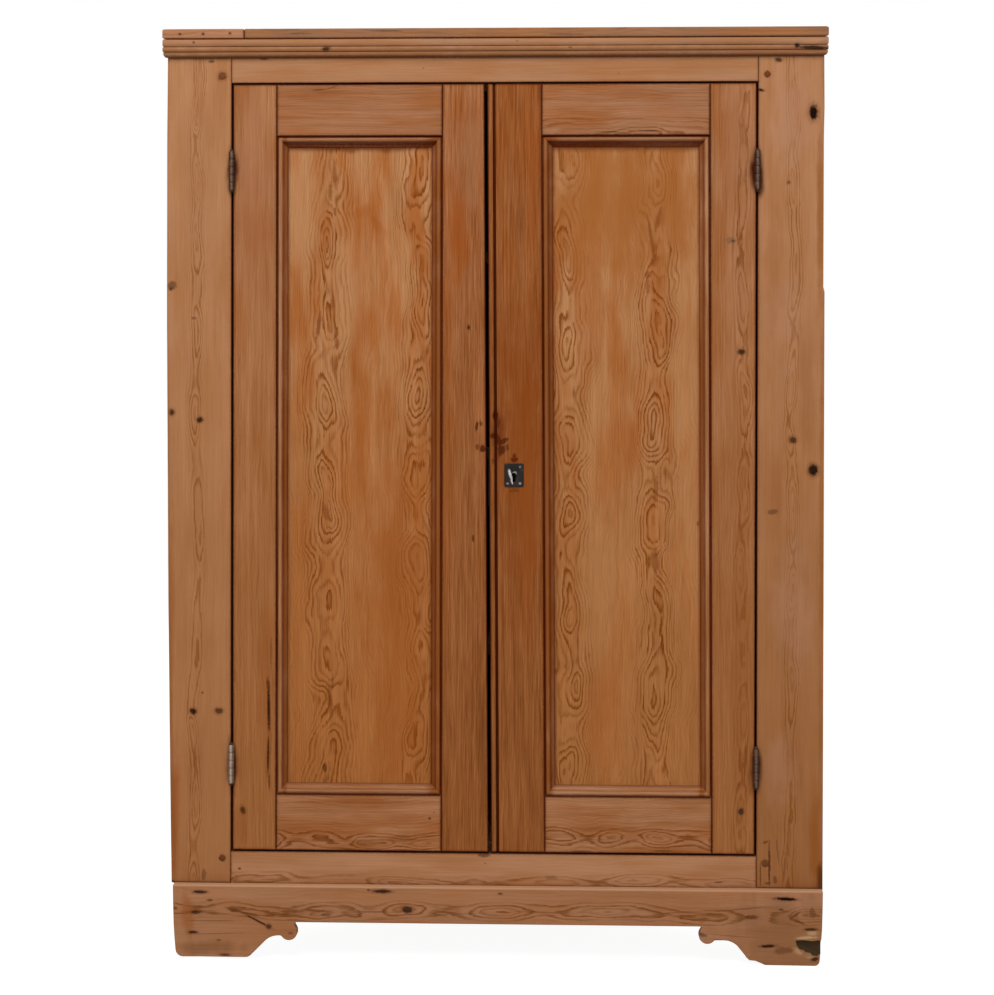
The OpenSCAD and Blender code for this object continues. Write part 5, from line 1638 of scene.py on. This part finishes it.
# One leaf with its own knuckles
def hingeLeaf(node, body, material):
    low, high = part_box(node)
    isLeft = node.startswith("left")
    isFrame = "frame_leaf" in node
    v = hinges
    axisX = (-hingeX if isLeft else hingeX) * mm
    axisY = faceY - v["out"] * mm
    z0 = (low.z + high.z) / 2 - v["height"] * mm / 2
    side = -1 if isLeft == isFrame else 1
    pitch = v["height"] / v["count"]
    shape = bmesh.new()
    inner = axisX + side * v["gap"] * mm
    outer = axisX + side * (v["gap"] + v["leafThick"]) * mm
    x0, x1 = min(inner, outer), max(inner, outer)
    front, back = axisY + 2 * mm, axisY + v["leafDepth"] * mm
    cut = 0 if isFrame else pitch  # the door's leaf has its knuckles between the frame's
    slab([(x0, front), (x1, front), (x1, back), (x0, back)], 2, z0 + cut * mm, z0 + (v["height"] - cut) * mm,
         0.25 * mm, 2, shape=shape)
    for i in range(0 if isFrame else 1, v["count"], 2):
        knuckle(shape, (axisX, axisY, z0), i * pitch + v["slit"] / 2, (i + 1) * pitch - v["slit"] / 2,
                7 if isLeft else 0)
    addPiece(node + "_worn", shape, material, body, [node], 35)


for side in sides:
    for level in ("upper", "lower"):
        paintName = "greyHinge" if (side, level) == ("left", "lower") else "hinge_iron"
        for leaf, body in (("frame_leaf", "cupboard"), ("door_leaf", side + "_door")):
            hingeLeaf(side + "_" + level + "_hinge_" + leaf, body, ironPaints[paintName])


def keyholePlate():
    low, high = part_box("escutcheon")
    r = lock["plateRound"] * mm
    outline = []
    left, right, under, top = low.x + r, high.x - r, low.z + r, high.z - r
    for centre, start in (((right, top), 0), ((left, top), 90), ((left, under), 180), ((right, under), 270)):
        outline += arc(centre, r, start, start + 90, 5)
    shape = slab(outline, 1, low.y, high.y, 0.45 * mm, 3)
    piece = addPiece("keyholePlate", shape, ironPaints["plate_iron"], "right_door",
                     ["escutcheon"], 30)
    carve(piece, [keyholeShape(low.y - 0.01, high.y + 0.01)])


keyholePlate()
print("iron made")


# Floor, light and camera

# In metres and watts
stage = {"floorSize": 30.0, "floorGlow": 1.18, "floorShare": 0.20, "worldLight": 0.34}
lamps = {
    "key": {"power": 120.0, "size": 2.4, "place": (-0.5, -2.7, 4.0), "aim": (0.0, 0.0, 1.1)},
    "fill": {"power": 12.0, "size": 3.0, "place": (1.6, -3.6, 1.0), "aim": (0.0, 0.0, 0.8)},
    "rear": {"power": 70.0, "size": 3.0, "place": (-0.9, 4.2, 2.4), "aim": (0.0, 0.2, 0.9)},
}


# Matt, and partly glowing where the camera sees it, so that it goes over into the white background
def floorPaint():
    paint = Paint(bpy.data.materials.new("paleFloor"))
    x, y, z = paint.place()
    cloudy = paint.cloud((x, y, z), (900, 900, 900), 2.0, 3.0)
    colour = paint.mix((0.86, 0.86, 0.86, 1), (0.82, 0.82, 0.82, 1), cloudy.rise(-0.2, 0.2))
    matt = paint.node("BsdfDiffuse", values={"Color": colour})
    white = paint.node("Emission", values={"Color": (1, 1, 1, 1), "Strength": stage["floorGlow"]})
    shader = paint.node("MixShader", values=[paint.seen() * (1 - stage["floorShare"]), matt, white])
    paint.node("OutputMaterial", values={"Surface": shader})
    return paint.owner


def makeStage():
    half = stage["floorSize"] / 2
    mesh = bpy.data.meshes.new("floor")
    corners = [(-half, -half, 0), (half, -half, 0), (half, half, 0), (-half, half, 0)]
    mesh.from_pydata(corners, [], [(0, 1, 2, 3)])
    floor = bpy.data.objects.new("floor", mesh)
    scene.collection.objects.link(floor)
    mesh.materials.append(floorPaint())

    scene.world = bpy.data.worlds.new("studio")
    sky = Paint(scene.world)
    light = sky.node("Background", values={"Color": (1, 1, 1, 1), "Strength": stage["worldLight"]})
    shown = sky.node("Background", values={"Color": (1, 1, 1, 1), "Strength": 1.0})
    sky.node("OutputWorld", values={"Surface": sky.node("MixShader", values=[sky.seen(), light, shown])})

    for name, values in lamps.items():
        data = bpy.data.lights.new(name, "AREA")
        data.shape = "SQUARE"
        data.size = values["size"]
        data.energy = values["power"]
        lamp = bpy.data.objects.new(name, data)
        lamp.location = values["place"]
        aim = Vector(values["aim"]) - Vector(values["place"])
        lamp.rotation_euler = aim.to_track_quat("-Z", "Y").to_euler()
        scene.collection.objects.link(lamp)


# The place is measured from the cupboard's face, and the turns are in degrees
view = {"place": (111.0, -3200.0, 944.0), "turn": 1.87, "tilt": -0.37, "roll": 0.11, "lens": 68.16,
        "shift": -0.08}


def makeCamera():
    data = bpy.data.cameras.new("camera")
    data.sensor_fit = "HORIZONTAL"
    data.sensor_width = 36.0
    data.lens = view["lens"]
    data.shift_y = view["shift"]
    eye = bpy.data.objects.new("camera", data)
    x, y, z = view["place"]
    eye.location = (x * mm, faceY + y * mm, z * mm)
    eye.rotation_euler = (math.radians(90 + view["tilt"]), math.radians(-view["roll"]),
                          math.radians(view["turn"]))
    scene.collection.objects.link(eye)
    scene.camera = eye


makeStage()
makeCamera()
scene.view_settings.view_transform = "Standard"
print("stage set")
